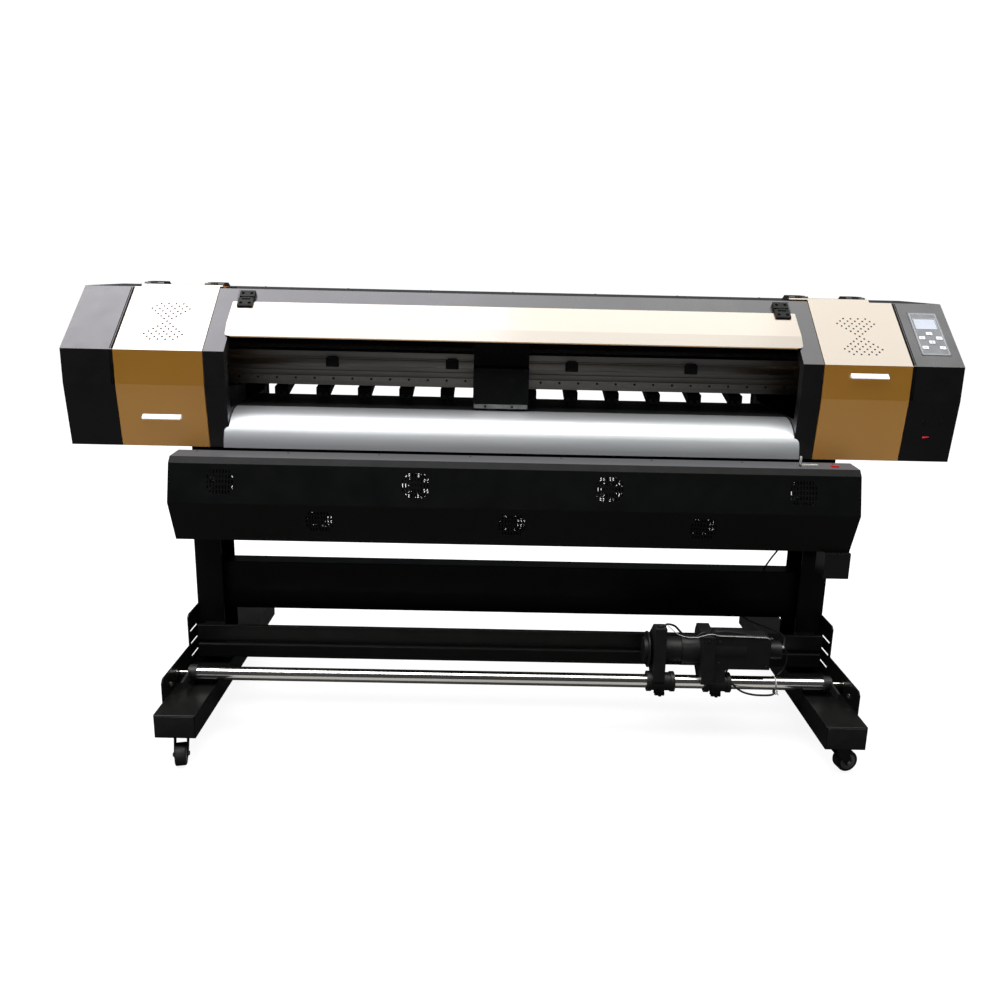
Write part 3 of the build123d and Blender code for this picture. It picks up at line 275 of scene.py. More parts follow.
class Finish:
    """A procedural material: colour, gloss, grain, streaks, worn edges that are partly painted highlight,
    and painted light by face direction.
    """

    def __init__(self, name, colour, rough, metallic=0.0, ior=1.5):
        LOOKS[name] = self
        self.material = bpy.data.materials.new(name)
        self.material.use_nodes = True
        self.nodes = self.material.node_tree.nodes
        self.links = self.material.node_tree.links
        self.inputs = self.nodes["Principled BSDF"].inputs
        self.colour, self.rough = (*colour, 1), rough
        self.put("Base Color", self.colour)
        self.put("Roughness", rough)
        self.put("Metallic", metallic)
        self.put("IOR", ior)
        self.place = self.nodes.new("ShaderNodeTexCoord").outputs["Object"]

    def put(self, name, value):
        """Give one of the shader's inputs a value, or link it to a node's output."""
        if isinstance(value, bpy.types.NodeSocket):
            self.links.new(value, self.inputs[name])
        else:
            self.inputs[name].default_value = value
        return self

    def noise(self, size, stretch=(1, 1, 1), detail=3.0):
        """A noise whose features are about size millimetres across, longer where stretch is more."""
        mapping = self.nodes.new("ShaderNodeMapping")
        mapping.inputs["Scale"].default_value = [1 / (size * MM * s) for s in stretch]
        self.links.new(self.place, mapping.inputs["Vector"])
        noise = self.nodes.new("ShaderNodeTexNoise")
        noise.inputs["Scale"].default_value = 1.0
        noise.inputs["Detail"].default_value = detail
        self.links.new(mapping.outputs["Vector"], noise.inputs["Vector"])
        return noise.outputs["Fac"]

    def span(self, value, low_value, high_value, start=0.3, end=0.7):
        """The value's start..end turned into low..high."""
        node = self.nodes.new("ShaderNodeMapRange")
        node.inputs["From Min"].default_value = start
        node.inputs["From Max"].default_value = end
        node.inputs["To Min"].default_value = low_value
        node.inputs["To Max"].default_value = high_value
        self.links.new(value, node.inputs["Value"])
        return node.outputs["Result"]

    def mix(self, factor, first, second):
        """Blend from the first colour to the second, by a factor from another node."""
        node = self.nodes.new("ShaderNodeMix")
        node.data_type = "RGBA"
        for socket, value in ((node.inputs[6], first), (node.inputs[7], second)):
            if isinstance(value, bpy.types.NodeSocket):
                self.links.new(value, socket)
            else:
                socket.default_value = value
        self.links.new(factor, node.inputs[0])
        return node.outputs[2]

    def recolour(self, factor, other):
        """Blend the base colour towards another."""
        self.colour = self.mix(factor, self.colour, (*other, 1))
        self.put("Base Color", self.colour)

    def uneven(self, spread, size=60.0, stretch=(1, 1, 1)):
        """Gloss that varies from place to place."""
        result = self.span(self.noise(size, stretch), self.rough - spread, self.rough + spread)
        return self.put("Roughness", result)

    def tint(self, other, size=90.0, stretch=(1, 1, 1)):
        """Colour that drifts a little towards another."""
        self.recolour(self.span(self.noise(size, stretch, 4.0), 0.0, 1.0, 0.35, 0.75), other)
        return self

    def eased_normal(self, radius):
        """The surface's direction, turned smoothly round edges over radius millimetres."""
        bevel = self.nodes.new("ShaderNodeBevel")
        bevel.samples = 4
        bevel.inputs["Radius"].default_value = radius * MM
        return bevel.outputs["Normal"]

    def grain(self, strength, size=1.0, stretch=(1, 1, 1), edge=0.0):
        """Fine bump, on shading edges rounded by edge millimetres."""
        bump = self.nodes.new("ShaderNodeBump")
        bump.inputs["Strength"].default_value = strength
        bump.inputs["Distance"].default_value = 0.2 * MM
        self.links.new(self.noise(size, stretch, 2.0), bump.inputs["Height"])
        if edge:
            self.links.new(self.eased_normal(edge), bump.inputs["Normal"])
        return self.put("Normal", bump.outputs["Normal"])

    def wear_and_edge_highlight(self, other, radius=1.5):
        """Edges rubbed towards another colour: wear, and in part a painted edge highlight."""
        geometry = self.nodes.new("ShaderNodeNewGeometry")
        dot = self.nodes.new("ShaderNodeVectorMath")
        dot.operation = "DOT_PRODUCT"
        self.links.new(self.eased_normal(radius), dot.inputs[0])
        self.links.new(geometry.outputs["True Normal"], dot.inputs[1])
        edges = self.span(dot.outputs["Value"], 0.6, 0.0, 0.75, 0.98)
        patches = self.span(self.noise(9.0, detail=4.0), 0.0, 1.0, 0.45, 0.65)
        both = self.nodes.new("ShaderNodeMath")
        both.operation = "MULTIPLY"
        self.links.new(edges, both.inputs[0])
        self.links.new(patches, both.inputs[1])
        self.recolour(both.outputs[0], other)
        return self

    def coat(self, weight, rough, ior):
        """A clear coat."""
        return self.put("Coat Weight", weight).put("Coat Roughness", rough).put("Coat IOR", ior)

    def dull(self, level):
        """Less reflection than a plain dielectric."""
        return self.put("Specular IOR Level", level)

    def sheen(self, colour):
        """Tinted reflections."""
        return self.put("Specular Tint", (*colour, 1))

    def above(self, axis, start, end, normal=False):
        """A factor that goes from 0 to 1 while a coordinate goes from start to end."""
        geometry = self.nodes.new("ShaderNodeNewGeometry")
        split = self.nodes.new("ShaderNodeSeparateXYZ")
        source = geometry.outputs["Normal"] if normal else self.place
        self.links.new(source, split.inputs[0])
        return self.span(split.outputs[axis], 0.0, 1.0, start, end)

    def darker_behind(self, y, other):
        """Another colour, without coat, behind y millimetres: for parts in a shared piece."""
        factor = self.above("Y", (y - 0.5) * MM, y * MM)
        self.recolour(factor, other)
        weight = self.inputs["Coat Weight"].default_value
        return self.put("Coat Weight", self.span(factor, weight, 0.0, 0.0, 1.0))

    def painted_floor_bounce(self, other):
        """Painted floor bounce: a lighter colour on faces that look down at the floor."""
        self.recolour(self.above("Z", -0.08, -0.14, normal=True), other)
        return self

    def painted_top_highlight(self, strength, chamfer):
        """Painted highlight: level faces glow as if they caught the light behind the machine, sloping ones
        hardly reflect.
        """
        level = self.above("Z", 0.95, 0.99, normal=True)
        tilted = self.above("Z", 0.3, 0.6, normal=True)
        self.put("Emission Strength", self.span(level, 0.0, strength, 0.0, 1.0))
        return self.put("Specular IOR Level", self.span(tilted, 0.3, chamfer, 0.0, 1.0))

    def glow(self, colour, strength):
        """Emitted light: a lamp's own light, and painted light where the part is no lamp."""
        return self.put("Emission Color", (*colour, 1)).put("Emission Strength", strength)


def grey(value):
    """A neutral colour."""
    return (value, value, value)


LONG = (14, 1, 1)          # streaks along the machine
COVER_FLANGE_BACK = 121.0  # y where the gold covers end and their hinge knuckles begin

# Finishes of the CAD parts, most of them named after the material slots of the record
(Finish("black_paint", (0.0105, 0.0105, 0.0108), 0.3, ior=1.57)
 .tint((0.014, 0.014, 0.0155)).uneven(0.05).grain(0.05, 1.2, edge=1.0)
 .sheen((0.96, 0.93, 1.0)))
# The hood's glow on level faces is a painted highlight; its lighter colour on faces that look down is
# painted floor bounce.
hood_paint = (Finish("hood_paint", (0.0028, 0.0032, 0.0032), 0.36)
              .tint((0.0045, 0.005, 0.005)).uneven(0.05).grain(0.05, 1.2)
              .glow((0.95, 0.95, 1.0), 0.0).painted_top_highlight(0.14, 0.1)
              .painted_floor_bounce((0.0125, 0.0122, 0.0108)))
# The stand's lighter edges are wear and partly a painted highlight along the edges.
(Finish("stand_paint", (0.0048, 0.0049, 0.0046), 0.36)
 .tint((0.0075, 0.0075, 0.0068)).wear_and_edge_highlight(grey(0.11)).uneven(0.06)
 .grain(0.10, 0.9, edge=1.2).dull(0.26))
(Finish("gold_paint", (0.122, 0.054, 0.004), 0.33)
 .tint((0.13, 0.061, 0.0055), 260).uneven(0.04, 120).grain(0.06, 0.8, edge=0.8)
 .coat(0.95, 0.16, 2.2).darker_behind(COVER_FLANGE_BACK, grey(0.006)))
(Finish("grey_paint", (0.32, 0.325, 0.34), 0.4).tint(grey(0.16), 20)
 .uneven(0.06).grain(0.1, 0.8, edge=0.5))
frame_steel = (Finish("frame_steel", (0.4, 0.41, 0.43), 0.42, 1.0).tint((0.5, 0.5, 0.52), 14)
               .uneven(0.1, 20).grain(0.12, 2.0))
(Finish("guide_aluminium", (0.7, 0.715, 0.745), 0.43, 0.7)
 .tint((0.72, 0.735, 0.765), 160, LONG).uneven(0.04, 40, LONG)
 .grain(0.06, 1.2, (40, 1, 1), edge=0.6))
beam_aluminium = (Finish("beam_aluminium", (0.5, 0.48, 0.45), 0.38, 1.0)
                  .tint((0.34, 0.32, 0.31), 50, LONG).uneven(0.08, 20, LONG)
                  .grain(0.16, 1.0, (50, 1, 1), edge=0.6))
(Finish("platen_black", (0.016, 0.017, 0.018), 0.42).tint(grey(0.028), 120, LONG)
 .uneven(0.08, 30, LONG).grain(0.1, 0.6, edge=0.6))
(Finish("polished_steel", (0.78, 0.76, 0.73), 0.16, 1.0)
 .tint((0.6, 0.57, 0.54), 130, (6, 1, 1)).uneven(0.07, 90, (6, 1, 1))
 .grain(0.05, 1.5, (30, 1, 1)))
(Finish("steel", (0.5, 0.49, 0.47), 0.34, 1.0).tint((0.42, 0.41, 0.4), 12)
 .uneven(0.06, 10).grain(0.04, 0.7))
cast_black = (Finish("cast_black", (0.007, 0.007, 0.0072), 0.5).tint(grey(0.012), 30)
              .wear_and_edge_highlight(grey(0.06), 1.2).uneven(0.08, 25).grain(0.45, 1.6, edge=1.0))
black_plastic = (Finish("black_plastic", (0.009, 0.009, 0.0095), 0.42).tint(grey(0.014), 25)
                 .uneven(0.06, 20).grain(0.2, 0.5, edge=0.6))
(Finish("gloss_black", (0.007, 0.008, 0.0085), 0.24).tint(grey(0.011), 60)
 .uneven(0.04, 40).grain(0.04, 1.5, edge=0.8))
panel_face = (Finish("panel_face", (0.12, 0.125, 0.145), 0.34).tint((0.09, 0.092, 0.11), 30)
              .uneven(0.05, 30).grain(0.08, 0.5, edge=0.6))
# The white plastic's glow is painted light; the part is no lamp.
(Finish("white_plastic", (0.88, 0.88, 0.92), 0.3).tint((0.8, 0.8, 0.86), 40)
 .uneven(0.05, 20).grain(0.05, 0.8, edge=0.6).glow((0.9, 0.9, 1), 0.35))
(Finish("key_plastic", (0.72, 0.74, 0.8), 0.35).tint((0.62, 0.64, 0.7), 9)
 .uneven(0.05, 9).grain(0.08, 0.5, edge=0.5))
(Finish("lcd_glass", (0.37, 0.39, 0.47), 0.2).tint((0.34, 0.36, 0.44), 30)
 .uneven(0.04, 20).grain(0.02, 0.5).glow((0.6, 0.66, 0.85), 0.05))
# The red plastic's glow is painted light; the part is no lamp.
(Finish("red_plastic", (0.62, 0.012, 0.02), 0.25).tint((0.5, 0.01, 0.015), 8)
 .uneven(0.04, 8).grain(0.05, 0.5, edge=0.5).glow((0.8, 0.01, 0.02), 0.15))
(Finish("ink_bottle", (0.62, 0.63, 0.66), 0.4).tint((0.5, 0.5, 0.54), 50)
 .uneven(0.06, 30).grain(0.1, 1.0, edge=0.8))
(Finish("belt_rubber", (0.01, 0.01, 0.01), 0.62).tint(grey(0.02), 12)
 .uneven(0.08, 6).grain(0.5, 2.0, (1, 8, 8)))
(Finish("roller_rubber", (0.16, 0.16, 0.165), 0.6).tint(grey(0.11), 8)
 .uneven(0.08, 6).grain(0.3, 0.6))
(Finish("wheel_rubber", (0.012, 0.012, 0.012), 0.58).tint(grey(0.03), 14)
 .uneven(0.1, 8).grain(0.4, 0.9, edge=0.8))

# Finishes of the hinges and of the fittings
hinge_black = (Finish("hinge_black", (0.005, 0.005, 0.0052), 0.5).tint(grey(0.008), 12)
               .uneven(0.06, 10).grain(0.2, 0.6, edge=0.5).dull(0.1))
# Near-black without reflection: the screws' own black, and painted shade inside the vent holes.
screw_black_and_hole_shade = (Finish("screw_black_and_hole_shade", (0.014, 0.013, 0.012), 0.8).tint(grey(0.009), 6)
             .uneven(0.05, 6).grain(0.2, 0.6).dull(0.0))
filter_black = (Finish("filter_black", (0.004, 0.004, 0.004), 0.9).tint(grey(0.008), 6)
                .uneven(0.05, 6).grain(0.5, 1.5).dull(0.1))
cable_jacket = (Finish("cable_jacket", (0.008, 0.008, 0.008), 0.45).tint(grey(0.016), 15)
                .uneven(0.08, 8).grain(0.2, 0.7))
dark_steel = (Finish("dark_steel", (0.05, 0.05, 0.052), 0.35, 0.9).tint(grey(0.09), 5)
              .uneven(0.1, 5).grain(0.2, 0.6))
bright_steel = (Finish("bright_steel", (0.72, 0.71, 0.7), 0.22, 1.0).tint((0.55, 0.54, 0.53), 6)
                .uneven(0.08, 6).grain(0.12, 0.6))
silver_print = (Finish("silver_print", (0.42, 0.44, 0.47), 0.4).tint(grey(0.34), 10)
                .uneven(0.05, 8).grain(0.05, 0.4))
dark_print = (Finish("dark_print", (0.05, 0.055, 0.07), 0.45).tint(grey(0.08), 4)
              .uneven(0.05, 4).grain(0.05, 0.4))
lamp_red = (Finish("lamp_red", (0.7, 0.02, 0.05), 0.2).tint((0.5, 0.01, 0.03), 5)
            .uneven(0.04, 5).grain(0.05, 0.5).glow((1.0, 0.05, 0.1), 0.5))
# The tan bead's glow is painted light on a bead that faces down into shade.
glowing_tan_edge = (Finish("glowing_tan_edge", (0.42, 0.27, 0.13), 0.4).tint((0.36, 0.22, 0.1), 60, LONG)
            .uneven(0.06, 30).grain(0.08, 0.8).glow((0.8, 0.55, 0.32), 0.22))
orange_plastic = (Finish("orange_plastic", (0.5, 0.13, 0.012), 0.4).tint((0.4, 0.1, 0.01), 6)
                  .uneven(0.06, 6).grain(0.1, 0.6))
pale_plastic = (Finish("pale_plastic", (0.6, 0.6, 0.58), 0.4).tint(grey(0.45), 5)
                .uneven(0.06, 5).grain(0.1, 0.5))
trim_rubber = (Finish("trim_rubber", (0.004, 0.004, 0.0045), 0.75).tint(grey(0.008), 30)
               .uneven(0.08, 12).grain(0.2, 0.8).dull(0.06))
lcd_ink = (Finish("lcd_ink", (0.36, 0.4, 0.54), 0.4).tint(grey(0.4), 4)
           .uneven(0.05, 4).grain(0.03, 0.4))
caster_grey = (Finish("caster_grey", (0.28, 0.27, 0.24), 0.45).tint(grey(0.2), 6)
               .uneven(0.08, 6).grain(0.15, 0.6))

# Nodes that differ from the look of their slot
NODE_LOOKS = {"control_panel": panel_face, "hood_shell": hood_paint,
              "lid_hinge_leaves": hinge_black, "hinge_bases": hinge_black}

# Rounded edges, in millimetres, of the CAD parts whose corners show
EDGE_ROUNDING = {
    "feet": 2.5, "uprights": 1.2, "base_beam": 2.0, "lower_crossbeam": 1.2, "upper_crossbeam": 2.0,
    "side_plates": 0.6, "left_handle": 0.8, "right_handle": 0.8, "carriage_cover": 1.0,
    "takeup_arms": 1.0, "takeup_motor": 1.6, "clamp_knob_left": 0.8, "clamp_knob_right": 0.8,
    "hinge_bases": 0.6, "lid_hinge_leaves": 0.5, "rocker_switch": 0.4, "core_flange": 0.8,
    "junction_box": 1.0, "tube_holders": 0.8, "pinch_arms": 0.6, "rail_beam": 0.8,
    "linear_rail": 0.5,
}


def dress_cad_parts():
    """Give every CAD node its finish, and round the edges that show."""
    for part in frame["record"]["subparts"]:
        node = frame["nodes"][part["node"]]
        look = NODE_LOOKS.get(part["node"], LOOKS[part["material_slot"]])
        node.data.materials.clear()
        node.data.materials.append(look.material)
        width = EDGE_ROUNDING.get(part["node"])
        if width:
            weld = node.modifiers.new("Weld", "WELD")
            weld.merge_threshold = 0.00001
            bevel = node.modifiers.new("Bevel", "BEVEL")
            bevel.width = width * MM
            bevel.segments = 2
            bevel.limit_method = "ANGLE"
            bevel.angle_limit = radians(35)
            bevel.miter_outer = "MITER_ARC"
            normals = node.modifiers.new("Normals", "WEIGHTED_NORMAL")
            normals.weight = 50


# ---------------------------------------------------------------- fittings of the head
def front_fittings():
    """Jacks and the lamp in the front of the right end cap."""
    jack_z, jack_x = 960.0, (CAP_OUTER - 97.0, CAP_OUTER - 45.0)
    jacks = Shape()
    for x in jack_x:
        place = facing_front(x, front_y(jack_z), jack_z)
        jacks.lathe([(4.6, -0.4), (4.6, 0.5), (4.0, 0.9), (2.6, 0.9), (2.2, 0.2), (2.2, -4), (0, -4)],
                    place, sides=20)
    jacks.build("front_jacks", black_plastic)
    lamp_z, lamp_x = 911.0, CAP_OUTER - 81.5
    lens = Shape()
    outline = [(-10, -2.4), (9.8, 1.2), (9.8, 2.4), (-9.8, 2.4), (-10.2, 1.0)]
    lens.prism(outline, 3.2, facing_front(lamp_x, front_y(lamp_z) + 2.0, lamp_z))
    lens.build("signal_lamp", lamp_red, edge=0.7)
    bed = Shape()
    bed.plate(24, 9, 1.0, facing_front(lamp_x, front_y(lamp_z) + 3.6, lamp_z), 1.5)
    bed.build("lamp_bed", black_plastic)


def edge_trims():
    """Soft edge strips between the end caps and the gold covers."""
    for side, name in ((-1, "left_edge_trim"), (1, "right_edge_trim")):
        strip = Shape()
        for offset, half, rise in ((1.6, 2.6, 1.3), (8.0, 1.2, 0.7)):
            x = side * (CAP_INNER + offset)
            strip.plate(2 * half, SLOPE_LENGTH - 8, rise, on_slope(x, SLOPE_LENGTH / 2, 0.0), 0.6)
            height = BREAK_Z - BEND_Z - 2
            strip.plate(2 * half, height, rise,
                        facing_front(x, HEAD_FRONT, BEND_Z + height / 2 + 1), 0.6)
        strip.build(name, trim_rubber, edge=0.25)


def panel_prints():
    """Border line, display content and display bezel of the control panel."""
    centre_x = middle("control_panel").x
    panel_distance, lcd_distance, plate_rise = 132.0, 173.0, 1.2
    panel = Shape()
    width, height, line = 80.0, 166.0, 1.3
    place = on_slope(centre_x, panel_distance, plate_rise)
    outer, inner = rounded(width, height, 4.0), rounded(width - 2 * line, height - 2 * line, 3.0)
    count = len(outer)
    points = [(x, y, 0.18) for x, y in outer] + [(x, y, 0.18) for x, y in inner]
    points += [(x, y, -0.05) for x, y in outer] + [(x, y, -0.05) for x, y in inner]
    faces = []
    for i in range(count):
        j = (i + 1) % count
        faces.append([i, j, count + j, count + i])
        faces.append([2 * count + i, 2 * count + j, j, i])
        faces.append([count + i, count + j, 3 * count + j, 3 * count + i])
        faces.append([3 * count + i, 3 * count + j, 2 * count + j, 2 * count + i])
    panel.add(points, faces, place)
    panel.build("panel_border", silver_print)

    display = Shape()
    lcd = on_slope(centre_x, lcd_distance, 0.62)
    for row in range(4):
        x = -27.0
        while x < 20:
            length = random.choice((4.0, 7.0, 11.0))
            display.plate(length, 1.6, 0.06, lcd @ at(x + length / 2, 13 - 7 * row, 0), 0.3)
            x += length + 3.0
    display.build("display_segments", lcd_ink)
    bezel = Shape()
    rim = on_slope(centre_x, lcd_distance, plate_rise)
    for dx, dy, w, h in ((0, 22.3, 67, 1.6), (0, -22.3, 67, 1.6), (-33.2, 0, 1.6, 44), (33.2, 0, 1.6, 44)):
        bezel.plate(w, h, 0.5, rim @ at(dx, dy, 0), 0.5)
    bezel.build("display_bezel", silver_print, edge=0.15)


def arrow(turn):
    """An arrow head and its tail, pointing up before it's turned."""
    outline = [(-3.0, 0.2), (-0.9, 0.2), (-0.9, -2.8), (0.9, -2.8), (0.9, 0.2), (3.0, 0.2), (0, 3.2)]
    c, s = cos(radians(turn)), sin(radians(turn))
    return [(x * c - y * s, x * s + y * c) for x, y in outline]


def key_signs():
    """A generic raised sign on each push key."""
    cross = [(-2.8, -1.9), (-1.9, -2.8), (0, -0.9), (1.9, -2.8), (2.8, -1.9), (0.9, 0), (2.8, 1.9),
             (1.9, 2.8), (0, 0.9), (-1.9, 2.8), (-2.8, 1.9), (-0.9, 0)]
    tick = [(-3.2, 0.2), (-2.2, 1.1), (-0.8, -0.8), (2.6, 2.8), (3.4, 2.0), (-0.8, -2.6)]
    signs = {"key_up": arrow(0), "key_left": arrow(90), "key_down": arrow(180),
             "key_right": arrow(270), "key_cancel": cross, "key_enter": tick}
    for key, outline in signs.items():
        place = frame_at(middle(key), (1, 0, 0), UP)
        sign = Shape()
        sign.prism(outline, 0.15, place @ at(0, 0, 2.2))
        sign.build(key + "_sign", dark_print, key + "_cap")


def hinge_screws():
    """Socket screws of the lid hinges."""
    half_hinge, dx_screw, dy_screw = 23.0, 13, 21
    hinge_line, hinge_rise, hinge_x = 208.0, 8.0, high("lid_hinge_leaves").x - half_hinge
    fixed, moving = Shape(), Shape()
    for side in (-1, 1):
        place = on_slope(side * hinge_x, hinge_line, hinge_rise)
        for dx in (-dx_screw, dx_screw):
            fixed.screw(place @ at(dx, dy_screw, 0.0), 4.4, 2.4)
            moving.screw(place @ at(dx, -dy_screw, 1.0), 4.4, 2.4)
    fixed.build("hinge_screws_fixed", screw_black_and_hole_shade)
    moving.build("hinge_screws_lid", screw_black_and_hole_shade, "lid")


def vent_shade_cups():
    """Cups with a narrow rim in the round vent holes of the gold covers, dark as painted shade inside the
    holes.
    """
    rows = [4, 5, 6, 5, 4, 3, 2, 1, 2, 3, 4, 5, 6, 5, 4]
    cover_middle, middle_slope, row_pitch, hole_pitch, sunk = 1040.0, 116.0, 10.4, 22.6, -0.1
    for side, body in ((-1, "left_door"), (1, "right_door")):
        cups = Shape()
        for row, count in enumerate(rows):
            distance = middle_slope + row_pitch * (row - (len(rows) - 1) / 2)
            for k in range(count):
                x = side * cover_middle + hole_pitch * (k - (count - 1) / 2)
                cups.lathe([(2.26, sunk - 1.2), (2.26, sunk), (1.9, sunk - 0.3), (0, sunk - 0.6)],
                           on_slope(x, distance), sides=12)
                cups.lathe([(2.3, 0.0), (2.4, 0.14), (3.0, 0.14), (3.1, 0.0)],
                           on_slope(x, distance), sides=12)
        cups.build(body + "_vent_shade_cups", screw_black_and_hole_shade, body)


def rear_filters():
    """Dust filters behind the vent slots of the back sheet."""
    slots_x, slots_z, width, height, depth = 1040.0, 1065.0, 186, 160, 5.0
    for side, name in ((-1, "left_rear_filter"), (1, "right_rear_filter")):
        mat = Shape()
        mat.plate(width, height, depth, facing_back(side * slots_x, HEAD_BACK - 8.0, slots_z), 6.0)
        mat.build(name, filter_black, edge=1.0)


def fan_guards():
    """Wire guards of rings and spokes on the back of each fan."""
    upper_line, lower_line = ((-205.0, 695.0), (-178.0, 808.0)), ((-155.0, 568.0), (-205.0, 695.0))
    pitch, shift, high_z, low_z, depth = 284.0, 2.0, 757.0, 640.0, 30.0
    guards = Shape()
    for k in range(-3, 4):
        line, z = (upper_line, high_z) if k % 2 else (lower_line, low_z)
        (y0, z0), (y1, z1) = line
        y = y0 + (y1 - y0) * (z - z0) / (z1 - z0)
        place = frame_at((pitch * k + shift, y, z), (1, 0, 0), (0, y1 - y0, z1 - z0)) @ at(0, 0, -depth)
        for radius in (18.5, 23.0, 27.5, 32.0, 36.5, 41.0):
            guards.lathe([(radius, -0.8), (radius + 2.6, -0.8), (radius + 2.6, 0.8), (radius, 0.8)],
                         place, sides=36, closed=True)
        for turn in (20, 110, 200, 290):
            spoke = place @ Matrix.Rotation(radians(turn), 4, "Z") @ at(31, 0, 0)
            guards.plate(27, 4.0, 2.0, spoke, 0.6)
    guards.build("fan_guards", filter_black)


def guide_bracket():
    """A small bright angle between the right post and the hood."""
    angle = Shape()
    x, y, z = 850.0, -145.0, 828.3
    length, width, leg = 53, 10.0, 3.5
    angle.plate(length, width, 6.5, at(x + length / 2, y, z), 0.6)
    angle.plate(leg, width, 30.0, at(x + leg / 2, y, z), 0.6)
    angle.build("guide_bracket", pale_plastic, edge=0.4)


def lid_hem():
    """A rounded tan bead along the lower edge of the lid."""
    corner = 13.0
    reach = high("front_lid").x - corner
    foot = Vector((0, low("front_lid").y + 1.9, low("front_lid").z + 0.4))
    hem = Shape()
    hem.cord([(-reach, foot.y + 2.4, foot.z + 2.2), (-reach + 5, *foot.yz), (0, *foot.yz),
              (reach - 5, *foot.yz), (reach, foot.y + 2.4, foot.z + 2.2)], 2.1, sides=12, steps=1)
    hem.build("lid_hem_bead", glowing_tan_edge, "lid")


def left_tower_corner():
    """The orange stop and the dark notch beside the left gold cover."""
    block = Shape()
    block.plate(11, 16, 9, at(-900.5, 112, HEAD_TOP - 4), 1.5)
    block.build("cover_stop", orange_plastic, edge=0.8)
    notch = Shape()
    notch.plate(26, 22, 7.5, at(-880, 108, HEAD_TOP - 2.5), 1.0)
    notch.build("cover_latch", black_plastic, edge=0.8)


def deck_screws():
    """Screws along the top deck, the back sheet and the end caps."""
    screws = Shape()
    deck_pitch, sheet_pitch, sheet_z = 280, 260, 1000
    for k in range(-4, 5):
        screws.screw(at(deck_pitch * k, HEAD_BACK - 14, HEAD_TOP), 3.2, 1.4)
    for side in (-1, 1):
        for z in (HEAD_FLOOR + 30, HEAD_FLOOR + 230, HEAD_TOP - 25):
            screws.screw(facing_back(side * (CAP_INNER - 14), HEAD_BACK, z), 3.2, 1.6)
            screws.screw(facing_back(side * (COVER_INNER - 30), HEAD_BACK, z), 3.2, 1.6)
    for k in range(-3, 4):
        screws.screw(facing_back(sheet_pitch * k, HEAD_BACK, sheet_z), 3.0, 1.4)
    screws.build("housing_screws", dark_steel)


def power_inlet():
    """Mains inlet, switch and two data sockets on the back of the right tower."""
    plate, dark, pins = Shape(), Shape(), Shape()
    x, z = 1060.0, 905.0
    plate.plate(130, 66, 1.6, facing_back(x, HEAD_BACK, z), 4.0)
    for dx in (-57, 57):
        pins.screw(facing_back(x + dx, HEAD_BACK + 1.6, z), 3.0, 1.4)
    dark.plate(34, 26, 3.2, facing_back(x + 30, HEAD_BACK + 1.0, z), 4.0)
    dark.plate(22, 14, 3.6, facing_back(x - 14, HEAD_BACK + 1.0, z + 12), 1.5)
    dark.plate(16, 12, 3.2, facing_back(x - 14, HEAD_BACK + 1.0, z - 14), 1.0)
    for dx, dz in ((-7, -3), (7, -3), (0, 5)):
        pins.plate(2.2, 5.0, 0.8, facing_back(x + 30 + dx, HEAD_BACK + 4.2, z + dz), 0.5)
    plate.build("inlet_plate", frame_steel, edge=0.4)
    dark.build("inlet_sockets", black_plastic, edge=0.8)
    pins.build("inlet_pins", bright_steel)


# ---------------------------------------------------------------- fittings of the opening
def beam_fittings():
    """Cable clips and a rounded strip on the beam's upper band, and the rail's screws."""
    beam_front, band_z = low("rail_beam").y, 1076.5
    clips = Shape()
    first_clip, clip_pitch = -574.0, 381.0
    for k in range(4):
        place = facing_front(first_clip + clip_pitch * k, beam_front, band_z)
        clips.plate(41, 30, 5, place, 3.0)
        clips.plate(30, 6, 9, place @ at(0, 16, 0), 2.0)
    clips.build("beam_clips", black_plastic, edge=0.8)
    strip = Shape()
    half, bulge, length, steps = 12.0, 2.4, 1800.0, 12
    turns = [pi * k / steps for k in range(steps + 1)]
    profile = [(half * cos(turn), bulge * sin(turn)) for turn in turns]
    along = frame_at((-length / 2, beam_front, band_z), (0, 0, 1), (0, -1, 0))
    strip.prism(profile, length, along)
    strip.build("beam_strip", beam_aluminium, edge=0.3)
    screws = Shape()
    rail_front, rail_z = low("linear_rail").y, middle("linear_rail").z
    pitch, count = 60.0, 38
    for k in range(count):
        x = pitch * (k - (count - 1) / 2)
        screws.lathe([(0, 0), (3.6, 0), (3.6, 1.8), (3.1, 2.3), (1.7, 2.3), (1.5, 0.6), (0, 0.5)],
                     facing_front(x, rail_front + 5.9, rail_z), sides=12)
    screws.build("rail_screws", dark_steel)


def pinch_ends():
    """Round pulleys at the ends of the pinch bar, and two screws on each arm."""
    discs = Shape()
    end_x, pulley_y, pulley_z = 842.0, 262, 972
    for side in (1, -1):
        discs.lathe([(0, 0), (13, 0), (14, 1), (14, 4), (11, 5), (11, 8), (14, 9), (14, 12),
                     (12.5, 13), (0, 13)], facing_side(-side * end_x, pulley_y, pulley_z, side),
                    sides=32)
    discs.build("lift_pulleys", dark_steel)
    pins = Shape()
    arms_low, arms_high = low("pinch_arms"), high("pinch_arms")
    pitch, half_arm, screw_y, screw_z = 136.5, 22, 196, 963
    first = arms_low.x + half_arm
    count = round((arms_high.x - arms_low.x - 2 * half_arm) / pitch) + 1
    for k in range(count):
        for dx in (-9, 9):
            pins.screw(facing_front(first + pitch * k + dx, screw_y, screw_z), 3.6, 2.4)
    pins.build("pinch_arm_screws", pale_plastic, "pinch_bar")


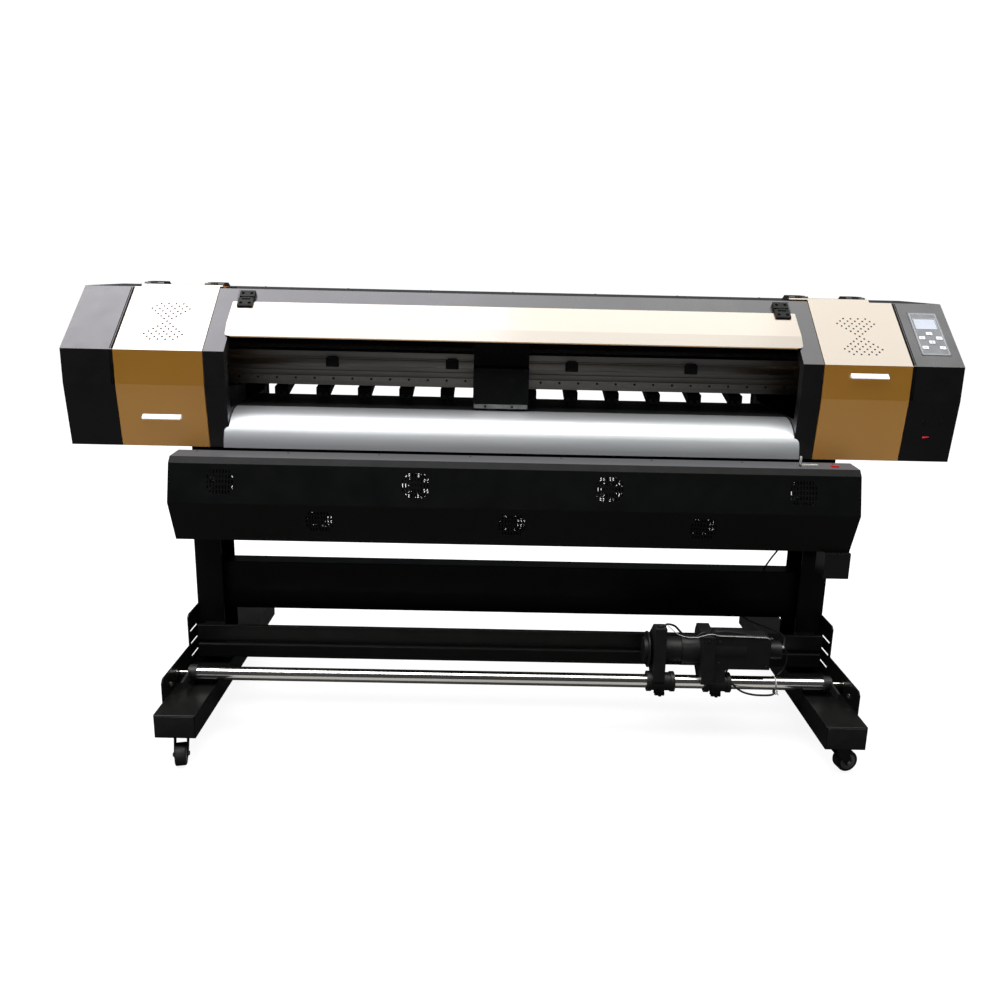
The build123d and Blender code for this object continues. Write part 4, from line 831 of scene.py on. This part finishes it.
def carriage_fittings():
    """Screws in the carriage's bottom plate and a cable duct on its cover."""
    plate_low = low("carriage_base")
    front = low("carriage_cover").y
    dark, plate_z = Shape(), 964.5
    for x in (plate_low.x + 34, plate_low.x + 117):
        dark.lathe([(0, 0), (4.2, 0), (4.2, 1.0), (3.4, 1.6), (0, 1.6)],
                   facing_front(x, front, plate_z), sides=16)
    for side in (-1, 1):
        x = middle("carriage_cover").x + side * 85
        for z in (990, 1060):
            dark.screw(facing_side(x, 30, z, side), 2.6, 1.3)
    dark.build("carriage_screws", dark_steel, "carriage")
    duct = Shape()
    x = middle("carriage_cover").x
    duct.plate(46, 30, 14, at(x - 40, 66, high("carriage_cover").z), 3.0)
    duct.plate(34, 16, 10, at(x + 40, 66, high("carriage_cover").z), 3.0)
    duct.build("carriage_duct", black_plastic, "carriage", edge=1.2)


# ---------------------------------------------------------------- fittings of the stand
def stand_fittings():
    """Bright nuts beside the take-up tube, foot plugs and hood end screws."""
    tube = middle("takeup_tube")
    nuts = Shape()
    for side in (-1, 1):
        x = middle("side_plates").x + side * (high("side_plates").x - middle("side_plates").x - 4)
        nuts.lathe([(0, 0), (11, 0), (11, 1.4), (9, 1.6)], facing_side(x, tube.y, tube.z, -side))
        nuts.hex_bolt(facing_side(x, -290.0, 165.0, -side), 6.0, 5.0)
        nuts.hex_bolt(facing_side(x, -200.0, 120.0, -side), 6.0, 5.0)
    nuts.build("tube_nuts", bright_steel)
    plugs = Shape()
    foot_low, foot_high = low("feet"), high("feet")
    width = 116.0
    for x in (foot_low.x + width / 2, foot_high.x - width / 2):
        z = (foot_low.z + foot_high.z) / 2
        plugs.plate(width - 6, 64, 2.0, facing_front(x, foot_low.y, z), 4.0)
        plugs.plate(width - 6, 64, 2.0, facing_back(x, foot_high.y, z), 4.0)
    plugs.build("foot_end_plugs", black_plastic, edge=0.8)
    screws = Shape()
    hood_low, hood_high = low("hood_shell"), high("hood_shell")
    for x, side in ((hood_low.x, -1), (hood_high.x, 1)):
        for y, z in ((-110, 800), (-110, 610), (-165, 700)):
            screws.screw(facing_side(x, y, z, side), 4.0, 2.0)
    count, inset, ledge_y, ledge_z = 8, 60, -104, 827.0
    for k in range(count):
        x = hood_low.x + inset + (hood_high.x - hood_low.x - 2 * inset) * k / (count - 1)
        screws.screw(at(x, ledge_y, ledge_z), 3.2, 1.6)
    screws.build("hood_screws", dark_steel)


def caster_fittings():
    """Hub rings and axle nuts on the wheels."""
    for name in ("front_left", "front_right", "rear_left", "rear_right"):
        wheel = middle(name + "_wheel")
        fork_top = high(name + "_fork")
        span = high(name + "_wheel") - low(name + "_wheel")
        stem = Vector((fork_x(name), fork_y(name), fork_top.z))
        ahead = Vector((wheel.x - stem.x, wheel.y - stem.y, 0)).normalized()
        rims, nuts = Shape(), Shape()
        radius = span.z / 2
        for side in (-1, 1):
            out = frame_at(wheel, ahead * side, (0, 0, 1))
            face, nut = -15.0, -18.8
            section = [(0.72, 0.4), (0.72, -0.5), (0.6, -0.8), (0.36, -0.6), (0.2, -0.5), (0.2, 0.4)]
            rims.lathe([(radius * share, face + rise) for share, rise in section], out, 32, closed=True)
            nuts.lathe([(6.2, nut), (6.2, nut - 3.2), (5.0, nut - 4.2), (0, nut - 4.2)], out, sides=6)
        rims.build(name + "_rim", caster_grey, name + "_roll")
        nuts.build(name + "_axle_nuts", bright_steel, name + "_swivel")


def fork_x(name):
    """The x of a caster's stem."""
    foot_low, foot_high, half_width = low("feet").x, high("feet").x, 58.0
    return foot_low + half_width if "left" in name else foot_high - half_width


def fork_y(name):
    """The y of a caster's stem."""
    inset = 48.0
    return low("feet").y + inset if "front" in name else high("feet").y - inset


def takeup_fittings():
    """Screws, cable glands, cords, a pale cord as a painted edge highlight, and a cable tie of the take-up
    drive.
    """
    motor_low, motor_high = low("takeup_motor"), high("takeup_motor")
    tube = middle("takeup_tube")
    front = motor_low.y
    cover_end = motor_low.x + 166.5
    screws = Shape()
    for x, z in ((motor_low.x + 12, 320), (motor_low.x + 12, 252), (cover_end - 12, 242)):
        screws.screw(facing_front(x, front, z), 3.0, 1.4)
    for z in (318, 214):
        screws.screw(facing_front(593, low("takeup_arms").y + 3.0 + 0.06 * (z - 185), z), 3.6, 3.0)
    screws.build("takeup_screws", dark_steel, "takeup_unit")

    glands = Shape()
    glands.lathe([(0, 0), (6.4, 0), (6.4, 3), (5, 4), (5, 9), (0, 9.5)],
                 facing_side(motor_high.x, -222, 285, 1), sides=12)
    glands.lathe([(0, 0), (5.4, 0), (5.4, 3), (4, 4), (4, 8), (0, 8.5)],
                 facing_side(motor_high.x, -204, 272, 1), sides=12)
    glands.lathe([(0, 2), (7, 2), (7, -4), (5, -5), (5, -8), (0, -8)], at(655, -250, 230), sides=12)
    glands.build("cable_glands", pale_plastic, "takeup_unit")

    cords = Shape()
    cords.cord([(655, -250, 224), (656, -254, 208), (668, -266, 188), (696, -275, 167),
                (730, -276, 157), (766, -272, 153), (792, -266, 152), (804, -260, 157)], 3.0)
    cords.cord([(motor_high.x + 8, -222, 285), (836, -222, 276), (841, -224, 258), (838, -228, 234),
                (828, -232, 214), (812, -238, 201)], 2.6)
    cords.cord([(462, -238, 353), (472, -237, 360), (494, -236, 354), (512, -238, 336),
                (533, -240, 318), (556, -241, 320), (572, -240, 332), (584, -240, 337)], 3.2)
    cords.build("takeup_cords", cable_jacket, "takeup_unit")
    # A thin cable along the motor cover's top front edge, pale as a painted highlight line.
    highlight_cord = Shape()
    highlight_cord.cord([(468, -262, 366), (478, -263, 357), (489, -263, 347), (504, -263, 338), (523, -263, 332),
               (540, -263, 331), (556, -263, 331), (576, -265, 338), (597, -268, 344), (612, -267, 341),
               (628, -264, 337), (664, -263, 336), (704, -263, 335), (740, -263, 334), (766, -262, 332),
               (776, -258, 322), (780, -250, 308)], 1.2, sides=8, steps=4)
    highlight_cord.build("takeup_highlight_cord", pale_plastic, "takeup_unit")

    tie = Shape()
    tie_x = 804.0
    round_tube = facing_side(tie_x, tube.y, tube.z, 1)
    tie.lathe([(20.2, -2.2), (21.6, -2.2), (21.6, 2.2), (20.2, 2.2)], round_tube, 36, closed=True)
    tie.plate(7, 8, 6, facing_front(tie_x, tube.y - 3, tube.z - 25), 1.0)
    tie.cord([(tie_x - 3, tube.y - 8, tube.z - 24), (tie_x + 4, tube.y - 14, tube.z - 30),
              (tie_x + 9, tube.y - 10, tube.z - 22), (tie_x + 4, tube.y - 16, tube.z - 18),
              (tie_x + 10, tube.y - 18, tube.z - 30)], 1.3, sides=8)
    tie.build("cable_tie", pale_plastic, "takeup_unit")

    bosses = Shape()
    bosses.lathe([(0, 0), (9, 0), (9, 5), (7.5, 6.5), (0, 6.5)], at(450, -242, 353.5), sides=24)
    hump = [(604, 336), (612, 347), (640, 349), (690, 344), (716, 337)]
    bosses.prism(hump, 30, facing_front(0, -226, 0))
    bosses.build("takeup_bosses", cast_black, "takeup_unit", edge=1.0)


def supply_cable():
    """The cable that hangs from the upper crossbeam to the take-up motor."""
    beam = low("upper_crossbeam")
    start = Vector((774, 24, beam.z + 1))
    finish_point = Vector((high("takeup_motor").x + 6, -204, 272))
    cord = Shape()
    cord.cord([start, start + Vector((4, -14, -10)), start + Vector((22, -70, -4)),
               finish_point + Vector((20, 60, 22)), finish_point + Vector((14, 12, 12)), finish_point],
              2.8)
    cable = cord.build("supply_cable", cable_jacket, None)
    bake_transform(cable)
    clip = Shape()
    clip.plate(16, 12, 4, at(start.x, start.y, beam.z - 4), 2.0)
    hang = Vector((830, 20, high("upper_crossbeam").z))
    clip.cord([(862, -60, 600), (858, -30, 540), (846, 4, 490), hang, hang - Vector((0, 0, 2))], 2.8)
    clip.build("crossbeam_cable", cable_jacket)


# ---------------------------------------------------------------- studio
def seen_and_unseen(nodes, links, seen, unseen, output):
    """One shader where the camera looks straight at it, another for all other rays."""
    path = nodes.new("ShaderNodeLightPath")
    choose = nodes.new("ShaderNodeMixShader")
    links.new(path.outputs["Is Camera Ray"], choose.inputs[0])
    links.new(unseen.outputs[0], choose.inputs[1])
    links.new(seen.outputs[0], choose.inputs[2])
    links.new(choose.outputs[0], output.inputs["Surface"])


def studio_floor():
    """A pale floor that meets the white background without an edge."""
    size, steps = 40.0, 8
    grid = bmesh.new()
    bmesh.ops.create_grid(grid, x_segments=steps, y_segments=steps, size=size)
    mesh = bpy.data.meshes.new("studio_floor")
    grid.to_mesh(mesh)
    grid.free()
    floor = bpy.data.objects.new("studio_floor", mesh)
    floor.location.z = -0.0005
    scene.collection.objects.link(floor)
    material = bpy.data.materials.new("studio_floor")
    material.use_nodes = True
    nodes, links = material.node_tree.nodes, material.node_tree.links
    nodes.clear()
    output = nodes.new("ShaderNodeOutputMaterial")
    seen = nodes.new("ShaderNodeAddShader")
    lit = nodes.new("ShaderNodeBsdfDiffuse")
    lit.inputs["Color"].default_value = (*grey(0.24), 1)
    base = nodes.new("ShaderNodeEmission")
    position = nodes.new("ShaderNodeNewGeometry")
    length = nodes.new("ShaderNodeVectorMath")
    length.operation = "LENGTH"
    links.new(position.outputs["Position"], length.inputs[0])
    ramp = nodes.new("ShaderNodeMapRange")
    ramp.interpolation_type = "SMOOTHSTEP"
    ramp.inputs["From Min"].default_value = 1.8
    ramp.inputs["From Max"].default_value = 5.5
    ramp.inputs["To Min"].default_value = 0.9
    ramp.inputs["To Max"].default_value = 1.02
    links.new(length.outputs["Value"], ramp.inputs["Value"])
    links.new(ramp.outputs["Result"], base.inputs["Strength"])
    links.new(lit.outputs[0], seen.inputs[0])
    links.new(base.outputs[0], seen.inputs[1])
    dim = nodes.new("ShaderNodeBsdfDiffuse")
    dim.inputs["Color"].default_value = (*grey(0.06), 1)
    seen_and_unseen(nodes, links, seen, dim, output)
    mesh.materials.append(material)


def studio_world():
    """White behind the machine; dim for everything that isn't seen directly."""
    world = bpy.data.worlds.new("studio")
    scene.world = world
    world.use_nodes = True
    nodes, links = world.node_tree.nodes, world.node_tree.links
    nodes.clear()
    output = nodes.new("ShaderNodeOutputWorld")
    dim = nodes.new("ShaderNodeBackground")
    dim.inputs["Color"].default_value = (0.9, 0.95, 1.0, 1.0)
    dim.inputs["Strength"].default_value = 0.06
    white = nodes.new("ShaderNodeBackground")
    white.inputs["Color"].default_value = (*grey(1.0), 1)
    white.inputs["Strength"].default_value = 1.02
    seen_and_unseen(nodes, links, white, dim, output)


def area_light(name, place, size, radiance, colour):
    """A soft box whose face has the given radiance."""
    light = bpy.data.lights.new(name, "AREA")
    light.shape = "RECTANGLE"
    light.size, light.size_y = size
    light.energy = radiance * pi * size[0] * size[1]
    light.color = colour
    box = bpy.data.objects.new(name, light)
    box.matrix_world = place
    scene.collection.objects.link(box)
    box.visible_camera = False
    return box


def studio_lights():
    """Overhead boxes, brighter to the left."""
    width, depth, height = 1.9, 4.8, 4.6
    for k, radiance in enumerate((7.2, 5.9, 4.6, 3.7)):
        x = (k - 1.5) * width
        colour = (0.985, 1.0, 0.95) if k > 1 else (1, 1, 1)
        area_light(f"overhead_{k}", at(x, 0.0, height), (width, depth), radiance, colour)


def tube_lights():
    """A pale floor that only the take-up tube, the stand's bolts and the bright nuts see."""
    shiny = bpy.data.collections.new("bright_metal")
    for name in ("takeup_tube", "stand_bolts"):
        shiny.objects.link(frame["nodes"][name])
    shiny.objects.link(bpy.data.objects["tube_nuts"])
    facing_up = at(0, -1.5, 0.03) @ Matrix.Rotation(pi, 4, "X")
    box = area_light("floor_glow", facing_up, (4.0, 2.2), 0.5, (1.0, 0.985, 0.95))
    box.light_linking.receiver_collection = shiny


def gold_lights():
    """A pale floor in front of the gold covers, which only their paint colour sees."""
    gold = bpy.data.collections.new("gold_covers")
    for name in ("left_cover", "right_cover"):
        gold.objects.link(frame["nodes"][name])
    facing_up = at(0, -1.6, 0.05) @ Matrix.Rotation(pi, 4, "X")
    box = area_light("gold_floor", facing_up, (5.0, 3.0), 5.6, (1.0, 0.97, 0.86))
    box.visible_glossy = False
    box.light_linking.receiver_collection = gold
    box.light_linking.blocker_collection = gold


def beam_lights():
    """A soft wall in front that the aluminium beam and its rail reflect."""
    bright = bpy.data.collections.new("bright_beam")
    for name in ("rail_beam", "linear_rail"):
        bright.objects.link(frame["nodes"][name])
    bright.objects.link(bpy.data.objects["beam_strip"])
    facing_beam = at(0, -2.2, 0.8) @ Matrix.Rotation(pi / 2, 4, "X")
    box = area_light("beam_wall", facing_beam, (2.4, 0.8), 0.13, (1.0, 0.96, 0.9))
    box.light_linking.receiver_collection = bright


def photo_camera():
    """The camera at the height, distance and tilt that the perspective asks for."""
    pitch, yaw, roll = 0.22496, 0.00948, 0.02272
    ahead = Vector((sin(yaw) * cos(pitch), cos(yaw) * cos(pitch), -sin(pitch)))
    right = Vector((cos(yaw), -sin(yaw), 0))
    up = right.cross(ahead)
    right, up = right * cos(roll) + up * sin(roll), up * cos(roll) - right * sin(roll)
    data = bpy.data.cameras.new("camera")
    data.sensor_width = 36.0
    data.lens = 30.27
    data.shift_y = -0.041
    data.clip_start, data.clip_end = 0.1, 200.0
    camera = bpy.data.objects.new("camera", data)
    place = Matrix((right, up, -ahead)).transposed().to_4x4()
    place.translation = Vector((-0.0594, -2.5600, 1.3843)) + LIFT * MM
    camera.matrix_world = place
    scene.collection.objects.link(camera)
    scene.camera = camera


dress_cad_parts()
front_fittings()
edge_trims()
panel_prints()
key_signs()
hinge_screws()
vent_shade_cups()
rear_filters()
fan_guards()
guide_bracket()
lid_hem()
left_tower_corner()
deck_screws()
power_inlet()
beam_fittings()
pinch_ends()
carriage_fittings()
stand_fittings()
caster_fittings()
takeup_fittings()
supply_cable()
studio_floor()
studio_world()
studio_lights()
tube_lights()
gold_lights()
beam_lights()
photo_camera()
scene.view_settings.view_transform = "Standard"
